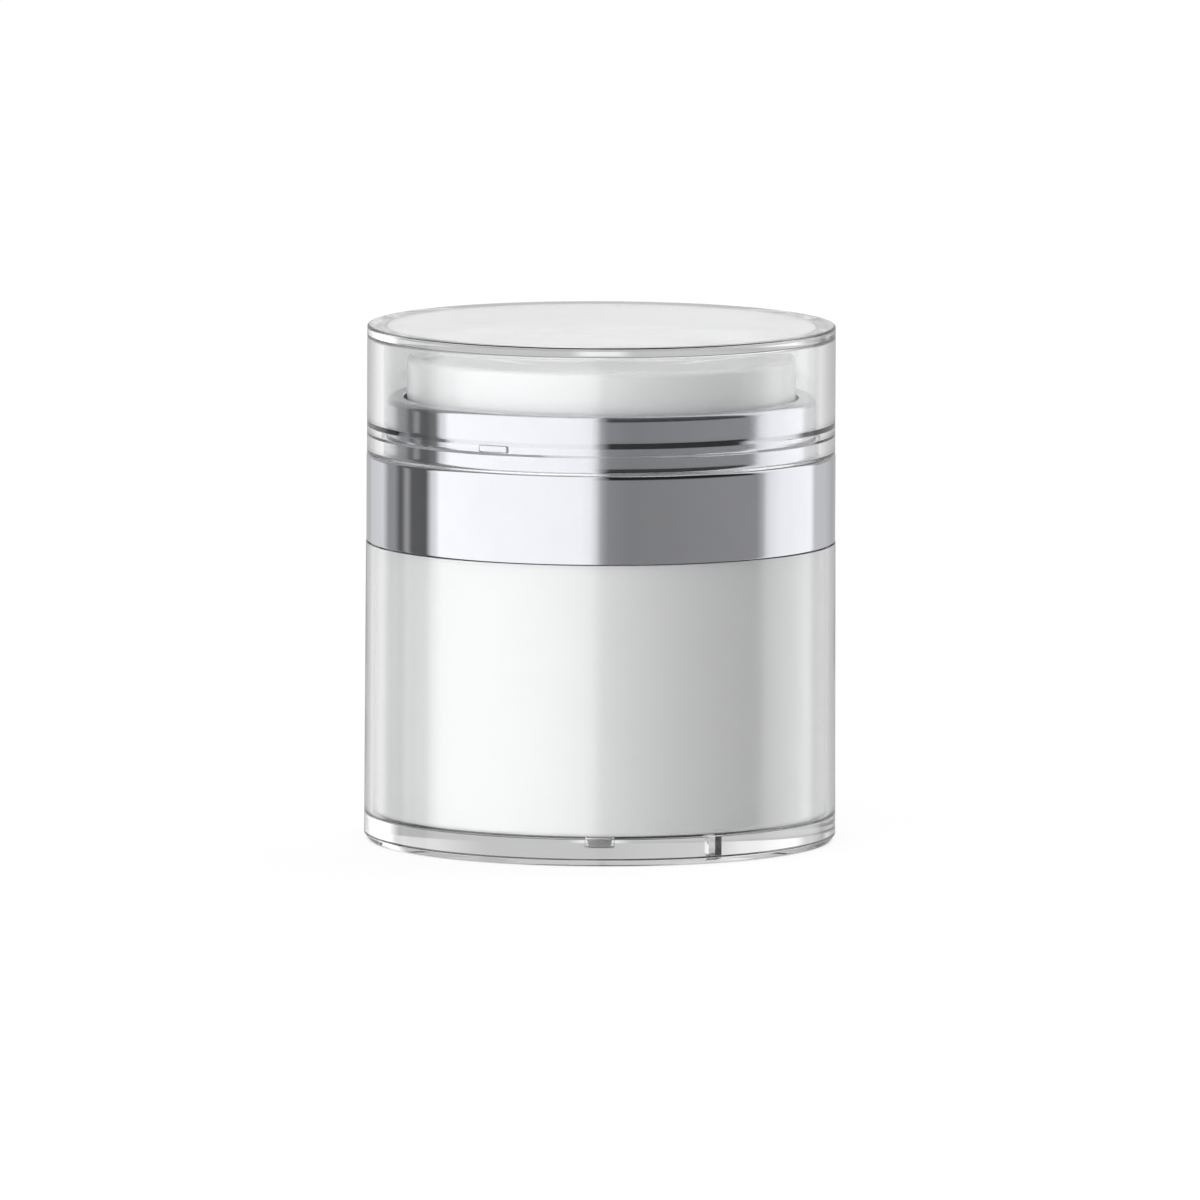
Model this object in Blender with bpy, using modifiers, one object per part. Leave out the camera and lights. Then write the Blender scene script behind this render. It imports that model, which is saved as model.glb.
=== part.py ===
"""Airless pump jar: a clear double-walled jar with a press-plate pump, a plated shoulder and a clear overcap.

The jar stands on z = 0 with its axis on Z. The front, where the liner's key tab lies, faces -Y.
Every piece is built from its own underside and lifted to its place on the axis.
"""

import math

import bmesh
import bpy
import numpy as np
from mathutils import Matrix, Vector

MM = 0.001

# Clearances
SEAT_GAP = 0.3 * MM  # between a piece and the face it rests on
SEAM_GAP = 0.1 * MM  # the seams seen above and below the plated band
RUNNING_GAP = 0.3 * MM  # between faces that slide or turn past each other
LIP_GAP = 0.1 * MM  # between a sealing lip and its bore
SHELL_GAP = 0.2 * MM  # between the clear shell and the liner
PLATE_GAP = 0.4 * MM  # ring gap round the press plate
SNAP_GAP = 0.06 * MM  # between a snap nub and the overcap's bore
OVERRUN = 2.0 * MM  # how far every cutter runs past the face it leaves
BITE = 0.5 * MM  # how far a joined detail sinks into its wall

# Outer jar, the clear shell
JAR_BASE_RADIUS = 31.2 * MM
JAR_DRAFT = 0.15 * MM  # the rim is this much narrower than the base
JAR_HEIGHT = 39.65 * MM
JAR_WALL = 0.95 * MM
JAR_FLOOR = 3.4 * MM
JAR_BASE_ROUND = 1.1 * MM
JAR_CORNER_ROUND = 0.4 * MM
JAR_FOOT_WIDTH = 3.6 * MM
JAR_FOOT_RECESS = 0.7 * MM
JAR_VENT_RADIUS = 0.8 * MM
SLOT_AZIMUTH = 30.0
SLOT_WIDTH = 1.9 * MM
SLOT_DEPTH = 2.5 * MM
SLOT_THICKNESS = 1.7 * MM

# Pearl liner, the white wall behind the shell
LINER_WALL = 1.7 * MM
LINER_RIM_WALL = 1.0 * MM
LINER_FLOOR = 0.6 * MM
LINER_BASE_ROUND = 0.8 * MM
LINER_VENT_RADIUS = 1.0 * MM
TAB_WIDTH = 3.7 * MM
TAB_TIP_WIDTH = 2.7 * MM
TAB_DEPTH = 1.3 * MM
TAB_THICKNESS = 1.6 * MM

# Inner jar, the product cup
CUP_GAP = 1.6 * MM  # air between the liner and the cup
CUP_WALL = 1.2 * MM
CUP_FLOOR = 1.2 * MM
CUP_BASE_ROUND = 1.2 * MM
CUP_FLANGE_THICKNESS = 1.0 * MM
CUP_FLANGE_DROP = 0.15 * MM  # below the shell's rim
CUP_VENT_RADIUS = 1.2 * MM

# Thread between the cup's neck and the screw ring
THREAD_PITCH = 3.0 * MM
THREAD_HEIGHT = 0.6 * MM
THREAD_ROOT_WIDTH = 1.4 * MM
THREAD_CREST_WIDTH = 0.7 * MM
THREAD_CLEARANCE = 0.9 * MM  # from the cup's neck to the ring's bore
THREAD_NECK_MARGIN = 1.0 * MM  # plain neck above the thread
THREAD_FOOT_MARGIN = 0.95 * MM  # plain bore below the ring's thread

# Follower piston
FOLLOWER_HEIGHT = 11.0 * MM
FOLLOWER_WALL = 1.2 * MM
FOLLOWER_LIP_FLARE = 0.7 * MM
FOLLOWER_LIP_HEIGHT = 1.4 * MM
FOLLOWER_LIP_RISE = 0.6 * MM
FOLLOWER_WELL_GAP = 1.4 * MM  # round the pump cylinder, which enters the well
FOLLOWER_WELL_FLOOR = 1.3 * MM
FOLLOWER_ROUND = 0.8 * MM
FOLLOWER_RIBS = 8
FOLLOWER_RIB_THICKNESS = 1.0 * MM
FOLLOWER_RIB_SHARE = 0.55  # of the follower's height

# Shoulder shell, plated: band, ledge and collar
BAND_STEP = 0.05 * MM  # in from the jar's rim
BAND_HEIGHT = 11.75 * MM
BAND_WALL = 1.6 * MM
BAND_EDGE_ROUND = 0.5 * MM
LEDGE_THICKNESS = 1.4 * MM
LEDGE_CORNER_ROUND = 0.6 * MM  # in the hollow corner at the collar's foot
COLLAR_GAP = 0.35 * MM  # inside the overcap's bore
COLLAR_HEIGHT = 7.6 * MM
COLLAR_WALL = 1.4 * MM
COLLAR_LAND_WIDTH = 2.35 * MM  # from the collar's outside to the press plate's hole
COLLAR_LAND_THICKNESS = 1.3 * MM
COLLAR_EDGE_ROUND = 0.7 * MM
LAND_EDGE_ROUND = 0.3 * MM
NUB_COUNT = 3
NUB_FIRST_AZIMUTH = -30.0
NUB_WIDTH = 4.3 * MM
NUB_HEIGHT = 1.3 * MM
NUB_RISE = 3.05 * MM  # from the ledge to the nub's middle

# Screw ring and pump deck
RING_WEB_THICKNESS = 1.2 * MM
RING_FOOT_GAP = 0.6 * MM  # from the cup's flange to the ring's lower end
DECK_THICKNESS = 1.2 * MM
DECK_PLUG_DEPTH = 2.5 * MM
DECK_PLUG_WALL = 1.0 * MM
DECK_RING_HEIGHT = 1.0 * MM
DECK_RING_WALL = 0.8 * MM
DECK_RIBS = 12
DECK_RIB_DEPTH = 1.2 * MM
DECK_RIB_THICKNESS = 0.9 * MM
GASKET_THICKNESS = 0.8 * MM
GASKET_OVERHANG = 0.1 * MM  # past the neck's outer face

# Press plate and its core
PLATE_RISE = 5.4 * MM  # above the collar
PLATE_OVERLAP = 4.55 * MM  # skirt inside the collar
PLATE_THICKNESS = 1.6 * MM
PLATE_SKIRT_WALL = 1.4 * MM
PLATE_EDGE_ROUND = 0.8 * MM
PLATE_DISH_RADIUS = 17.0 * MM
PLATE_DISH_DEPTH = 0.5 * MM
PLATE_DISH_SLOPE = 4.0 * MM
PLATE_RETAINER_WALL = 1.0 * MM
PLATE_RETAINER_DEPTH = 2.2 * MM
CORE_RIM_WIDTH = 0.55 * MM  # outside the ring that centres the spring
CORE_THICKNESS = 1.0 * MM
CORE_BOSS_WALL = 1.2 * MM
CORE_BOSS_DEPTH = 2.0 * MM
CORE_RING_WALL = 0.9 * MM
CORE_RING_DEPTH = 1.4 * MM
PRESS_STROKE = 4.5 * MM

# Outlet nozzle and valves
NOZZLE_RADIUS = 2.9 * MM
NOZZLE_FLANGE_WIDTH = 1.1 * MM
NOZZLE_FLANGE_THICKNESS = 0.5 * MM
NOZZLE_ORIFICE_RADIUS = 0.9 * MM
VALVE_GAP = 0.2 * MM
VALVE_HEAD_RADIUS = 2.4 * MM
VALVE_HEAD_THICKNESS = 0.6 * MM
VALVE_STEM_RADIUS = 1.0 * MM
VALVE_LIFT = 0.5 * MM
VALVE_GUIDE_LENGTH = 2.2 * MM
VALVE_BARB_WIDTH = 0.8 * MM
VALVE_BARB_THICKNESS = 0.7 * MM

# Stem, piston, cylinder, bush and seal
STEM_RADIUS = 3.0 * MM
STEM_BORE_RADIUS = 1.6 * MM
STEM_INSERT = 1.6 * MM  # how far the stem goes up into the core's boss
STEM_FIT = 0.15 * MM
STEM_FOOT_WIDTH = 1.2 * MM
STEM_FOOT_THICKNESS = 0.8 * MM
PISTON_HEIGHT = 4.0 * MM
PISTON_WAIST_DEPTH = 0.8 * MM
PISTON_LIP_HEIGHT = 1.0 * MM
CYLINDER_BORE_RADIUS = 5.95 * MM
CYLINDER_WALL = 1.25 * MM
CYLINDER_FLOOR = 1.0 * MM
CYLINDER_FLANGE_WIDTH = 2.1 * MM
CYLINDER_FLANGE_THICKNESS = 1.0 * MM
BUSH_CAP_THICKNESS = 1.0 * MM
BUSH_PLUG_DEPTH = 2.0 * MM
SEAL_THICKNESS = 0.8 * MM
INLET_HOLE_RADIUS = 1.5 * MM

# Return spring
SPRING_WIRE = 0.9 * MM
SPRING_CLEARANCE = 0.95 * MM  # round the cylinder's flange
SPRING_TURNS = 5.5
SPRING_END_PITCH = 1.5 * MM
SPRING_POINTS_PER_TURN = 9
LEAST_COIL_GAP = 0.4 * MM

# Overcap
CAP_STEP = 0.05 * MM  # in from the plated band
CAP_WALL = 2.15 * MM
CAP_TOP_THICKNESS = 1.4 * MM
CAP_HEADROOM = 2.4 * MM  # from the press plate to the cap's ceiling
CAP_EDGE_ROUND = 0.4 * MM
CAP_RIM_EDGE = 0.1 * MM
CAP_RIM_INNER_EDGE = 0.35 * MM
CAP_INNER_ROUND = 0.4 * MM
CAP_GROOVE_DEPTH = 0.3 * MM
CAP_GROOVE_HEIGHT = 1.9 * MM
CAP_GROOVE_UPPER_SLOPE = 0.65 * MM  # height of the groove's upper flank
CAP_GROOVE_LOWER_SLOPE = 0.4 * MM

# Facets
WIDE_STEPS = 48
HIDDEN_STEPS = 36
SMALL_STEPS = 20
ROUND_STEPS = 3
CHAMFER_LIMIT = 0.45 * MM  # a smaller rounding is a chamfer
ROUND_REACH_SHARE = 0.45  # the most of an edge that a rounding may take
SHARP_ANGLE = math.radians(35)
WELD_DISTANCE = 0.01 * MM

# Heights, from the base up
liner_z = JAR_FLOOR + SEAT_GAP
cup_z = liner_z + LINER_FLOOR + SEAT_GAP
follower_z = cup_z + CUP_FLOOR + SEAT_GAP
band_z = JAR_HEIGHT + SEAM_GAP
ledge_z = band_z + BAND_HEIGHT
collar_top_z = ledge_z + COLLAR_HEIGHT
ring_top_z = ledge_z - LEDGE_THICKNESS - SEAT_GAP
deck_z = ring_top_z - RING_WEB_THICKNESS - SEAT_GAP - DECK_THICKNESS
gasket_z = deck_z - SEAT_GAP - GASKET_THICKNESS
neck_top_z = gasket_z - SEAT_GAP
flange_top_z = JAR_HEIGHT - CUP_FLANGE_DROP
ring_z = flange_top_z + RING_FOOT_GAP
ring_thread_z = ring_z + THREAD_FOOT_MARGIN + THREAD_ROOT_WIDTH / 2
neck_thread_z = ring_thread_z - THREAD_PITCH / 2
thread_rise = neck_top_z - THREAD_NECK_MARGIN - THREAD_ROOT_WIDTH / 2 - neck_thread_z
plate_top_z = collar_top_z + PLATE_RISE
plate_z = collar_top_z - PLATE_OVERLAP
core_top_z = plate_top_z - PLATE_THICKNESS - SEAT_GAP
boss_z = core_top_z - CORE_THICKNESS - CORE_BOSS_DEPTH
stem_top_z = boss_z + STEM_INSERT
bush_top_z = boss_z - PRESS_STROKE - RUNNING_GAP
cylinder_top_z = bush_top_z - BUSH_CAP_THICKNESS - SEAT_GAP
piston_z = cylinder_top_z + SEAT_GAP - BUSH_PLUG_DEPTH - RUNNING_GAP - PISTON_HEIGHT
stem_z = piston_z - VALVE_GAP - STEM_FOOT_THICKNESS
cylinder_floor_z = stem_z - PRESS_STROKE - RUNNING_GAP - VALVE_LIFT - VALVE_HEAD_THICKNESS - VALVE_GAP
cylinder_z = cylinder_floor_z - CYLINDER_FLOOR
seal_z = deck_z + DECK_THICKNESS + SEAT_GAP
cylinder_flange_z = seal_z + SEAL_THICKNESS + SEAT_GAP
spring_z = deck_z + DECK_THICKNESS + SEAT_GAP
spring_top_z = core_top_z - CORE_THICKNESS - SEAT_GAP
cap_z = ledge_z + SEAM_GAP
cap_top_z = plate_top_z + CAP_HEADROOM + CAP_TOP_THICKNESS

# Radii that follow from a neighbour
jar_rim_radius = JAR_BASE_RADIUS - JAR_DRAFT
jar_bore_radius = jar_rim_radius - JAR_WALL
liner_radius = jar_bore_radius - SHELL_GAP
liner_bore_radius = liner_radius - LINER_WALL
liner_rim_bore_radius = liner_radius - LINER_RIM_WALL
cup_radius = liner_bore_radius - CUP_GAP
cup_bore_radius = cup_radius - CUP_WALL
cup_flange_radius = liner_rim_bore_radius - RUNNING_GAP
lip_radius = cup_bore_radius - LIP_GAP
ring_bore_radius = cup_radius + THREAD_CLEARANCE
band_radius = jar_rim_radius - BAND_STEP
ring_radius = band_radius - BAND_WALL - RUNNING_GAP
cap_radius = band_radius - CAP_STEP
cap_bore_radius = cap_radius - CAP_WALL
collar_radius = cap_bore_radius - COLLAR_GAP
land_radius = collar_radius - COLLAR_LAND_WIDTH
plate_radius = land_radius - PLATE_GAP
deck_radius = ring_bore_radius - RUNNING_GAP
plug_radius = cup_bore_radius - RUNNING_GAP
cylinder_radius = CYLINDER_BORE_RADIUS + CYLINDER_WALL
cylinder_flange_radius = cylinder_radius + CYLINDER_FLANGE_WIDTH
deck_hole_radius = cylinder_radius + RUNNING_GAP
boss_bore_radius = STEM_RADIUS + STEM_FIT
boss_radius = boss_bore_radius + CORE_BOSS_WALL
well_radius = cylinder_radius + FOLLOWER_WELL_GAP
spring_radius = cylinder_flange_radius + SPRING_CLEARANCE + SPRING_WIRE / 2
spring_outer_radius = spring_radius + SPRING_WIRE / 2
core_radius = spring_outer_radius + RUNNING_GAP + CORE_RING_WALL + CORE_RIM_WIDTH
nub_top_radius = cap_bore_radius * math.cos(math.pi / WIDE_STEPS) - SNAP_GAP
tab_radius = liner_radius - LINER_BASE_ROUND - TAB_THICKNESS / 2
slot_radius = liner_radius - SLOT_THICKNESS / 2

for old in list(bpy.data.objects):
    bpy.data.objects.remove(old, do_unlink=True)

parts = bpy.data.collections.new("airless_pump_jar")
cutters = bpy.data.collections.new("cutters")
for group in (parts, cutters):
    bpy.context.scene.collection.children.link(group)


def finish(name, color, roughness, metallic=0.0, transmission=0.0):
    """A plain Principled material."""
    material = bpy.data.materials.new(name)
    material.use_nodes = True
    shader = material.node_tree.nodes["Principled BSDF"]
    shader.inputs["Base Color"].default_value = (*color, 1.0)
    shader.inputs["Roughness"].default_value = roughness
    shader.inputs["Metallic"].default_value = metallic
    shader.inputs["Transmission Weight"].default_value = transmission
    material.diffuse_color = (*color, 1.0 - transmission * 0.6)
    return material


clear_acrylic = finish("clear_acrylic", (0.96, 0.97, 0.98), 0.03, transmission=1.0)
pearl_white = finish("pearl_white", (0.90, 0.90, 0.91), 0.30, metallic=0.15)
plated_silver = finish("plated_silver", (0.78, 0.78, 0.80), 0.08, metallic=1.0)
white_resin = finish("white_resin", (0.86, 0.86, 0.85), 0.45)
natural_resin = finish("natural_resin", (0.80, 0.81, 0.79), 0.40)
soft_seal = finish("soft_seal", (0.72, 0.73, 0.74), 0.60)
spring_steel = finish("spring_steel", (0.62, 0.62, 0.63), 0.25, metallic=1.0)


def body(name):
    """An empty on the axis that carries the pieces which move together."""
    empty = bpy.data.objects.new(name, None)
    parts.objects.link(empty)
    return empty


jar_body = body("jar_body")
follower_body = body("follower_body")
seal_body = body("seal_body")
unit_body = body("unit_body")
press_body = body("press_body")
inlet_valve_body = body("inlet_valve_body")
outlet_valve_body = body("outlet_valve_body")
overcap_body = body("overcap_body")
seal_body.parent = jar_body
follower_body.parent = jar_body
unit_body.parent = seal_body
for moving in (press_body, inlet_valve_body, overcap_body):
    moving.parent = unit_body
outlet_valve_body.parent = press_body


def rounded(corners):
    """The outline through (radius, height, rounding) corners, each rounding drawn as an arc."""
    outline = []
    for index, (across, up, rounding) in enumerate(corners):
        here = Vector((across, up))
        if not rounding:
            outline.append(here)
            continue
        before = Vector(corners[index - 1][:2]) - here
        after = Vector(corners[(index + 1) % len(corners)][:2]) - here
        half = before.angle(after) / 2
        most = ROUND_REACH_SHARE * min(before.length, after.length)
        reach = min(rounding / math.tan(half), most)
        radius = reach * math.tan(half)
        inward = (before.normalized() + after.normalized()).normalized()
        centre = here + inward * radius / math.sin(half)
        start = here + before.normalized() * reach - centre
        end = here + after.normalized() * reach - centre
        sweep = -start.angle_signed(end)
        steps = ROUND_STEPS if rounding > CHAMFER_LIMIT else 1
        for step in range(steps + 1):
            turn = sweep * step / steps
            outline.append(centre + Matrix.Rotation(turn, 2) @ start)
    return outline


def clockwise(outline):
    """The outline ordered down its outer side, so that its turned faces point out."""
    area = sum(a.cross(b) for a, b in zip(outline, outline[1:] + outline[:1]))
    return outline if area < 0 else outline[::-1]


def add_object(name, mesh, group, parent=None, z=0.0, azimuth=0.0):
    thing = bpy.data.objects.new(name, mesh)
    group.objects.link(thing)
    thing.parent = parent
    thing.location.z = z
    thing.rotation_euler.z = math.radians(azimuth)
    if group is cutters:
        thing.hide_render = True
        thing.display_type = "WIRE"
    return thing


def turned(name, corners, steps, group=cutters, parent=None, z=0.0, turns=1.0, rise=0.0):
    """A profile of (radius, height, rounding) corners turned round Z.

    A profile with a corner on the axis stays open there, and any other is a closed ring section.
    """
    outline = clockwise(rounded(corners))
    on_axis = [index for index, point in enumerate(outline) if point.x == 0]
    if on_axis:
        first = next(i for i in on_axis if outline[i - 1].x == 0)
        outline = outline[first:] + outline[:first]
    edges = [(i, i + 1) for i in range(len(outline) - 1)]
    if not on_axis:
        edges.append((len(outline) - 1, 0))
    mesh = bpy.data.meshes.new(name)
    mesh.from_pydata([(point.x, 0, point.y) for point in outline], edges, [])
    thing = add_object(name, mesh, group, parent, z)
    screw = thing.modifiers.new("turn", "SCREW")
    screw.angle = math.tau * turns
    screw.screw_offset = rise
    screw.steps = round(steps * turns)
    screw.render_steps = screw.steps
    screw.use_merge_vertices = turns == 1.0
    screw.merge_threshold = WELD_DISTANCE
    return thing


def settled(thing):
    """Replaces an object's mesh by what its modifiers make of it."""
    graph = bpy.context.evaluated_depsgraph_get()
    mesh = bpy.data.meshes.new_from_object(thing.evaluated_get(graph))
    thing.modifiers.clear()
    thing.data = mesh
    return thing


def helical_ridge(name, corners, z):
    """A closed thread ridge: its section carried up a helix, with both ends filled."""
    ridge = turned(name, corners, HIDDEN_STEPS, z=z, turns=thread_rise / THREAD_PITCH, rise=thread_rise)
    settled(ridge)
    shape = bmesh.new()
    shape.from_mesh(ridge.data)
    bmesh.ops.holes_fill(shape, edges=shape.edges[:], sides=0)
    bmesh.ops.recalc_face_normals(shape, faces=shape.faces[:])
    shape.to_mesh(ridge.data)
    shape.free()
    return ridge


def combine(target, other, operation):
    boolean = target.modifiers.new(other.name, "BOOLEAN")
    boolean.operation = operation
    boolean.object = other
    boolean.solver = "EXACT"


def block(name, width, thickness, height, radius, z, azimuth=0.0, corner=0.0, tip_width=None):
    """A block at a radius and azimuth from the front: width runs round the jar, thickness along the radius.

    A corner rounds the four edges that run along the radius, and a tip width narrows the lower face.
    """
    shape = bmesh.new()
    bmesh.ops.create_cube(shape, size=1)
    bmesh.ops.scale(shape, vec=(width, thickness, height), verts=shape.verts[:])
    if corner:
        along = [edge for edge in shape.edges if abs(edge.verts[0].co.y - edge.verts[1].co.y) > thickness / 2]
        bmesh.ops.bevel(shape, geom=along, offset=corner, segments=ROUND_STEPS, affect="EDGES", profile=0.5)
    if tip_width:
        lower = [vert for vert in shape.verts if vert.co.z < 0]
        bmesh.ops.scale(shape, vec=(tip_width / width, 1, 1), verts=lower)
    bmesh.ops.translate(shape, vec=(0, -radius, 0), verts=shape.verts[:])
    mesh = bpy.data.meshes.new(name)
    shape.to_mesh(mesh)
    shape.free()
    return add_object(name, mesh, cutters, z=z, azimuth=azimuth)


def make_outer_jar():
    foot_radius = JAR_BASE_RADIUS - JAR_FOOT_WIDTH
    jar = turned(
        "outer_jar",
        [
            (jar_rim_radius, JAR_HEIGHT, 0),
            (JAR_BASE_RADIUS, 0, JAR_BASE_ROUND),
            (foot_radius, 0, JAR_CORNER_ROUND),
            (foot_radius, JAR_FOOT_RECESS, 0),
            (JAR_VENT_RADIUS, JAR_FOOT_RECESS, 0),
            (JAR_VENT_RADIUS, JAR_FLOOR, 0),
            (jar_bore_radius, JAR_FLOOR, JAR_CORNER_ROUND),
            (jar_bore_radius, JAR_HEIGHT, 0),
        ],
        WIDE_STEPS,
        parts,
        jar_body,
    )
    pocket_height = TAB_DEPTH + RUNNING_GAP + OVERRUN
    tab_pocket = block(
        "tab_pocket",
        TAB_WIDTH + 2 * RUNNING_GAP,
        TAB_THICKNESS + 2 * RUNNING_GAP,
        pocket_height,
        tab_radius,
        JAR_FLOOR + OVERRUN - pocket_height / 2,
    )
    slot_height = SLOT_DEPTH + OVERRUN
    slot = block(
        "base_slot",
        SLOT_WIDTH,
        SLOT_THICKNESS,
        slot_height,
        slot_radius,
        JAR_FLOOR + OVERRUN - slot_height / 2,
        SLOT_AZIMUTH,
    )
    combine(jar, tab_pocket, "DIFFERENCE")
    combine(jar, slot, "DIFFERENCE")
    return jar, clear_acrylic


def make_pearl_liner():
    height = JAR_HEIGHT - liner_z
    ledge = height - CUP_FLANGE_DROP - CUP_FLANGE_THICKNESS - SEAT_GAP
    liner = turned(
        "pearl_liner",
        [
            (liner_radius, height, 0),
            (liner_radius, 0, LINER_BASE_ROUND),
            (LINER_VENT_RADIUS, 0, 0),
            (LINER_VENT_RADIUS, LINER_FLOOR, 0),
            (liner_bore_radius, LINER_FLOOR, JAR_CORNER_ROUND),
            (liner_bore_radius, ledge, 0),
            (liner_rim_bore_radius, ledge, 0),
            (liner_rim_bore_radius, height, 0),
        ],
        HIDDEN_STEPS,
        parts,
        jar_body,
        liner_z,
    )
    tab_height = TAB_DEPTH + BITE
    tab = block(
        "key_tab",
        TAB_WIDTH,
        TAB_THICKNESS,
        tab_height,
        tab_radius,
        liner_z - TAB_DEPTH + tab_height / 2,
        tip_width=TAB_TIP_WIDTH,
    )
    combine(liner, tab, "UNION")
    return liner, pearl_white


def make_inner_jar():
    height = neck_top_z - cup_z
    flange_top = flange_top_z - cup_z
    flange_bottom = flange_top - CUP_FLANGE_THICKNESS
    cup = turned(
        "inner_jar",
        [
            (cup_radius, height, 0),
            (cup_radius, flange_top, 0),
            (cup_flange_radius, flange_top, 0),
            (cup_flange_radius, flange_bottom, 0),
            (cup_radius, flange_bottom, 0),
            (cup_radius, 0, CUP_BASE_ROUND),
            (CUP_VENT_RADIUS, 0, 0),
            (CUP_VENT_RADIUS, CUP_FLOOR, 0),
            (cup_bore_radius, CUP_FLOOR, 0),
            (cup_bore_radius, height, 0),
        ],
        HIDDEN_STEPS,
        parts,
        jar_body,
        cup_z,
    )
    crest_radius = cup_radius + THREAD_HEIGHT
    thread = helical_ridge(
        "neck_thread",
        [
            (cup_radius - BITE, THREAD_ROOT_WIDTH / 2, 0),
            (cup_radius, THREAD_ROOT_WIDTH / 2, 0),
            (crest_radius, THREAD_CREST_WIDTH / 2, 0),
            (crest_radius, -THREAD_CREST_WIDTH / 2, 0),
            (cup_radius, -THREAD_ROOT_WIDTH / 2, 0),
            (cup_radius - BITE, -THREAD_ROOT_WIDTH / 2, 0),
        ],
        neck_thread_z,
    )
    combine(cup, thread, "UNION")
    return cup, white_resin


def make_screw_ring():
    height = ring_top_z - ring_z
    web = height - RING_WEB_THICKNESS
    ring = turned(
        "screw_ring",
        [
            (ring_radius, height, 0),
            (ring_radius, 0, 0),
            (ring_bore_radius, 0, 0),
            (ring_bore_radius, web, 0),
            (land_radius, web, 0),
            (land_radius, height, 0),
        ],
        HIDDEN_STEPS,
        parts,
        unit_body,
        ring_z,
    )
    crest_radius = ring_bore_radius - THREAD_HEIGHT
    thread = helical_ridge(
        "ring_thread",
        [
            (ring_bore_radius + BITE, THREAD_ROOT_WIDTH / 2, 0),
            (ring_bore_radius, THREAD_ROOT_WIDTH / 2, 0),
            (crest_radius, THREAD_CREST_WIDTH / 2, 0),
            (crest_radius, -THREAD_CREST_WIDTH / 2, 0),
            (ring_bore_radius, -THREAD_ROOT_WIDTH / 2, 0),
            (ring_bore_radius + BITE, -THREAD_ROOT_WIDTH / 2, 0),
        ],
        ring_thread_z,
    )
    combine(ring, thread, "UNION")
    return ring, white_resin


def make_follower_piston():
    outer = lip_radius - FOLLOWER_LIP_FLARE
    inner = outer - FOLLOWER_WALL
    well_outer = well_radius + FOLLOWER_WALL
    well_floor = SEAT_GAP + FOLLOWER_WELL_FLOOR
    crown = FOLLOWER_HEIGHT - FOLLOWER_WALL
    lip_top = FOLLOWER_HEIGHT + FOLLOWER_LIP_RISE
    lip_root = FOLLOWER_HEIGHT - FOLLOWER_LIP_HEIGHT
    follower = turned(
        "follower_piston",
        [
            (0, well_floor, 0),
            (well_radius, well_floor, FOLLOWER_ROUND),
            (well_radius, FOLLOWER_HEIGHT, FOLLOWER_ROUND),
            (outer, FOLLOWER_HEIGHT, 0),
            (lip_radius, lip_top, 0),
            (outer, lip_root, 0),
            (outer, FOLLOWER_LIP_HEIGHT, 0),
            (lip_radius, 0, 0),
            (inner, FOLLOWER_LIP_HEIGHT, 0),
            (inner, crown, 0),
            (well_outer, crown, 0),
            (well_outer, SEAT_GAP, 0),
            (0, SEAT_GAP, 0),
        ],
        HIDDEN_STEPS,
        parts,
        follower_body,
        follower_z,
    )
    rib_height = FOLLOWER_RIB_SHARE * FOLLOWER_HEIGHT
    rib_length = inner - well_outer + 2 * BITE
    for index in range(FOLLOWER_RIBS):
        rib = block(
            f"follower_rib_{index + 1}",
            FOLLOWER_RIB_THICKNESS,
            rib_length,
            rib_height,
            (inner + well_outer) / 2,
            follower_z + crown + BITE - rib_height / 2,
            index * 360 / FOLLOWER_RIBS,
        )
        combine(follower, rib, "UNION")
    return follower, natural_resin


def make_deck_gasket():
    gasket = turned(
        "deck_gasket",
        [
            (cup_radius + GASKET_OVERHANG, GASKET_THICKNESS, 0),
            (cup_radius + GASKET_OVERHANG, 0, 0),
            (cup_bore_radius, 0, 0),
            (cup_bore_radius, GASKET_THICKNESS, 0),
        ],
        HIDDEN_STEPS,
        parts,
        seal_body,
        gasket_z,
    )
    return gasket, soft_seal


def make_shoulder_shell():
    bore_radius = band_radius - BAND_WALL
    collar_bore_radius = collar_radius - COLLAR_WALL
    top = BAND_HEIGHT + COLLAR_HEIGHT
    shell = turned(
        "shoulder_shell",
        [
            (collar_radius, top, COLLAR_EDGE_ROUND),
            (collar_radius, BAND_HEIGHT, LEDGE_CORNER_ROUND),
            (band_radius, BAND_HEIGHT, BAND_EDGE_ROUND),
            (band_radius, 0, 0),
            (bore_radius, 0, 0),
            (bore_radius, BAND_HEIGHT - LEDGE_THICKNESS, 0),
            (collar_bore_radius, BAND_HEIGHT - LEDGE_THICKNESS, 0),
            (collar_bore_radius, top - COLLAR_LAND_THICKNESS, 0),
            (land_radius, top - COLLAR_LAND_THICKNESS, 0),
            (land_radius, top, LAND_EDGE_ROUND),
        ],
        WIDE_STEPS,
        parts,
        unit_body,
        band_z,
    )
    nub_root = collar_radius - BITE
    for index in range(NUB_COUNT):
        nub = block(
            f"snap_nub_{index + 1}",
            NUB_WIDTH,
            nub_top_radius - nub_root,
            NUB_HEIGHT,
            (nub_top_radius + nub_root) / 2,
            ledge_z + NUB_RISE,
            NUB_FIRST_AZIMUTH + index * 360 / NUB_COUNT,
            ROUND_REACH_SHARE * NUB_HEIGHT,
        )
        combine(shell, nub, "UNION")
    return shell, plated_silver


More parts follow.
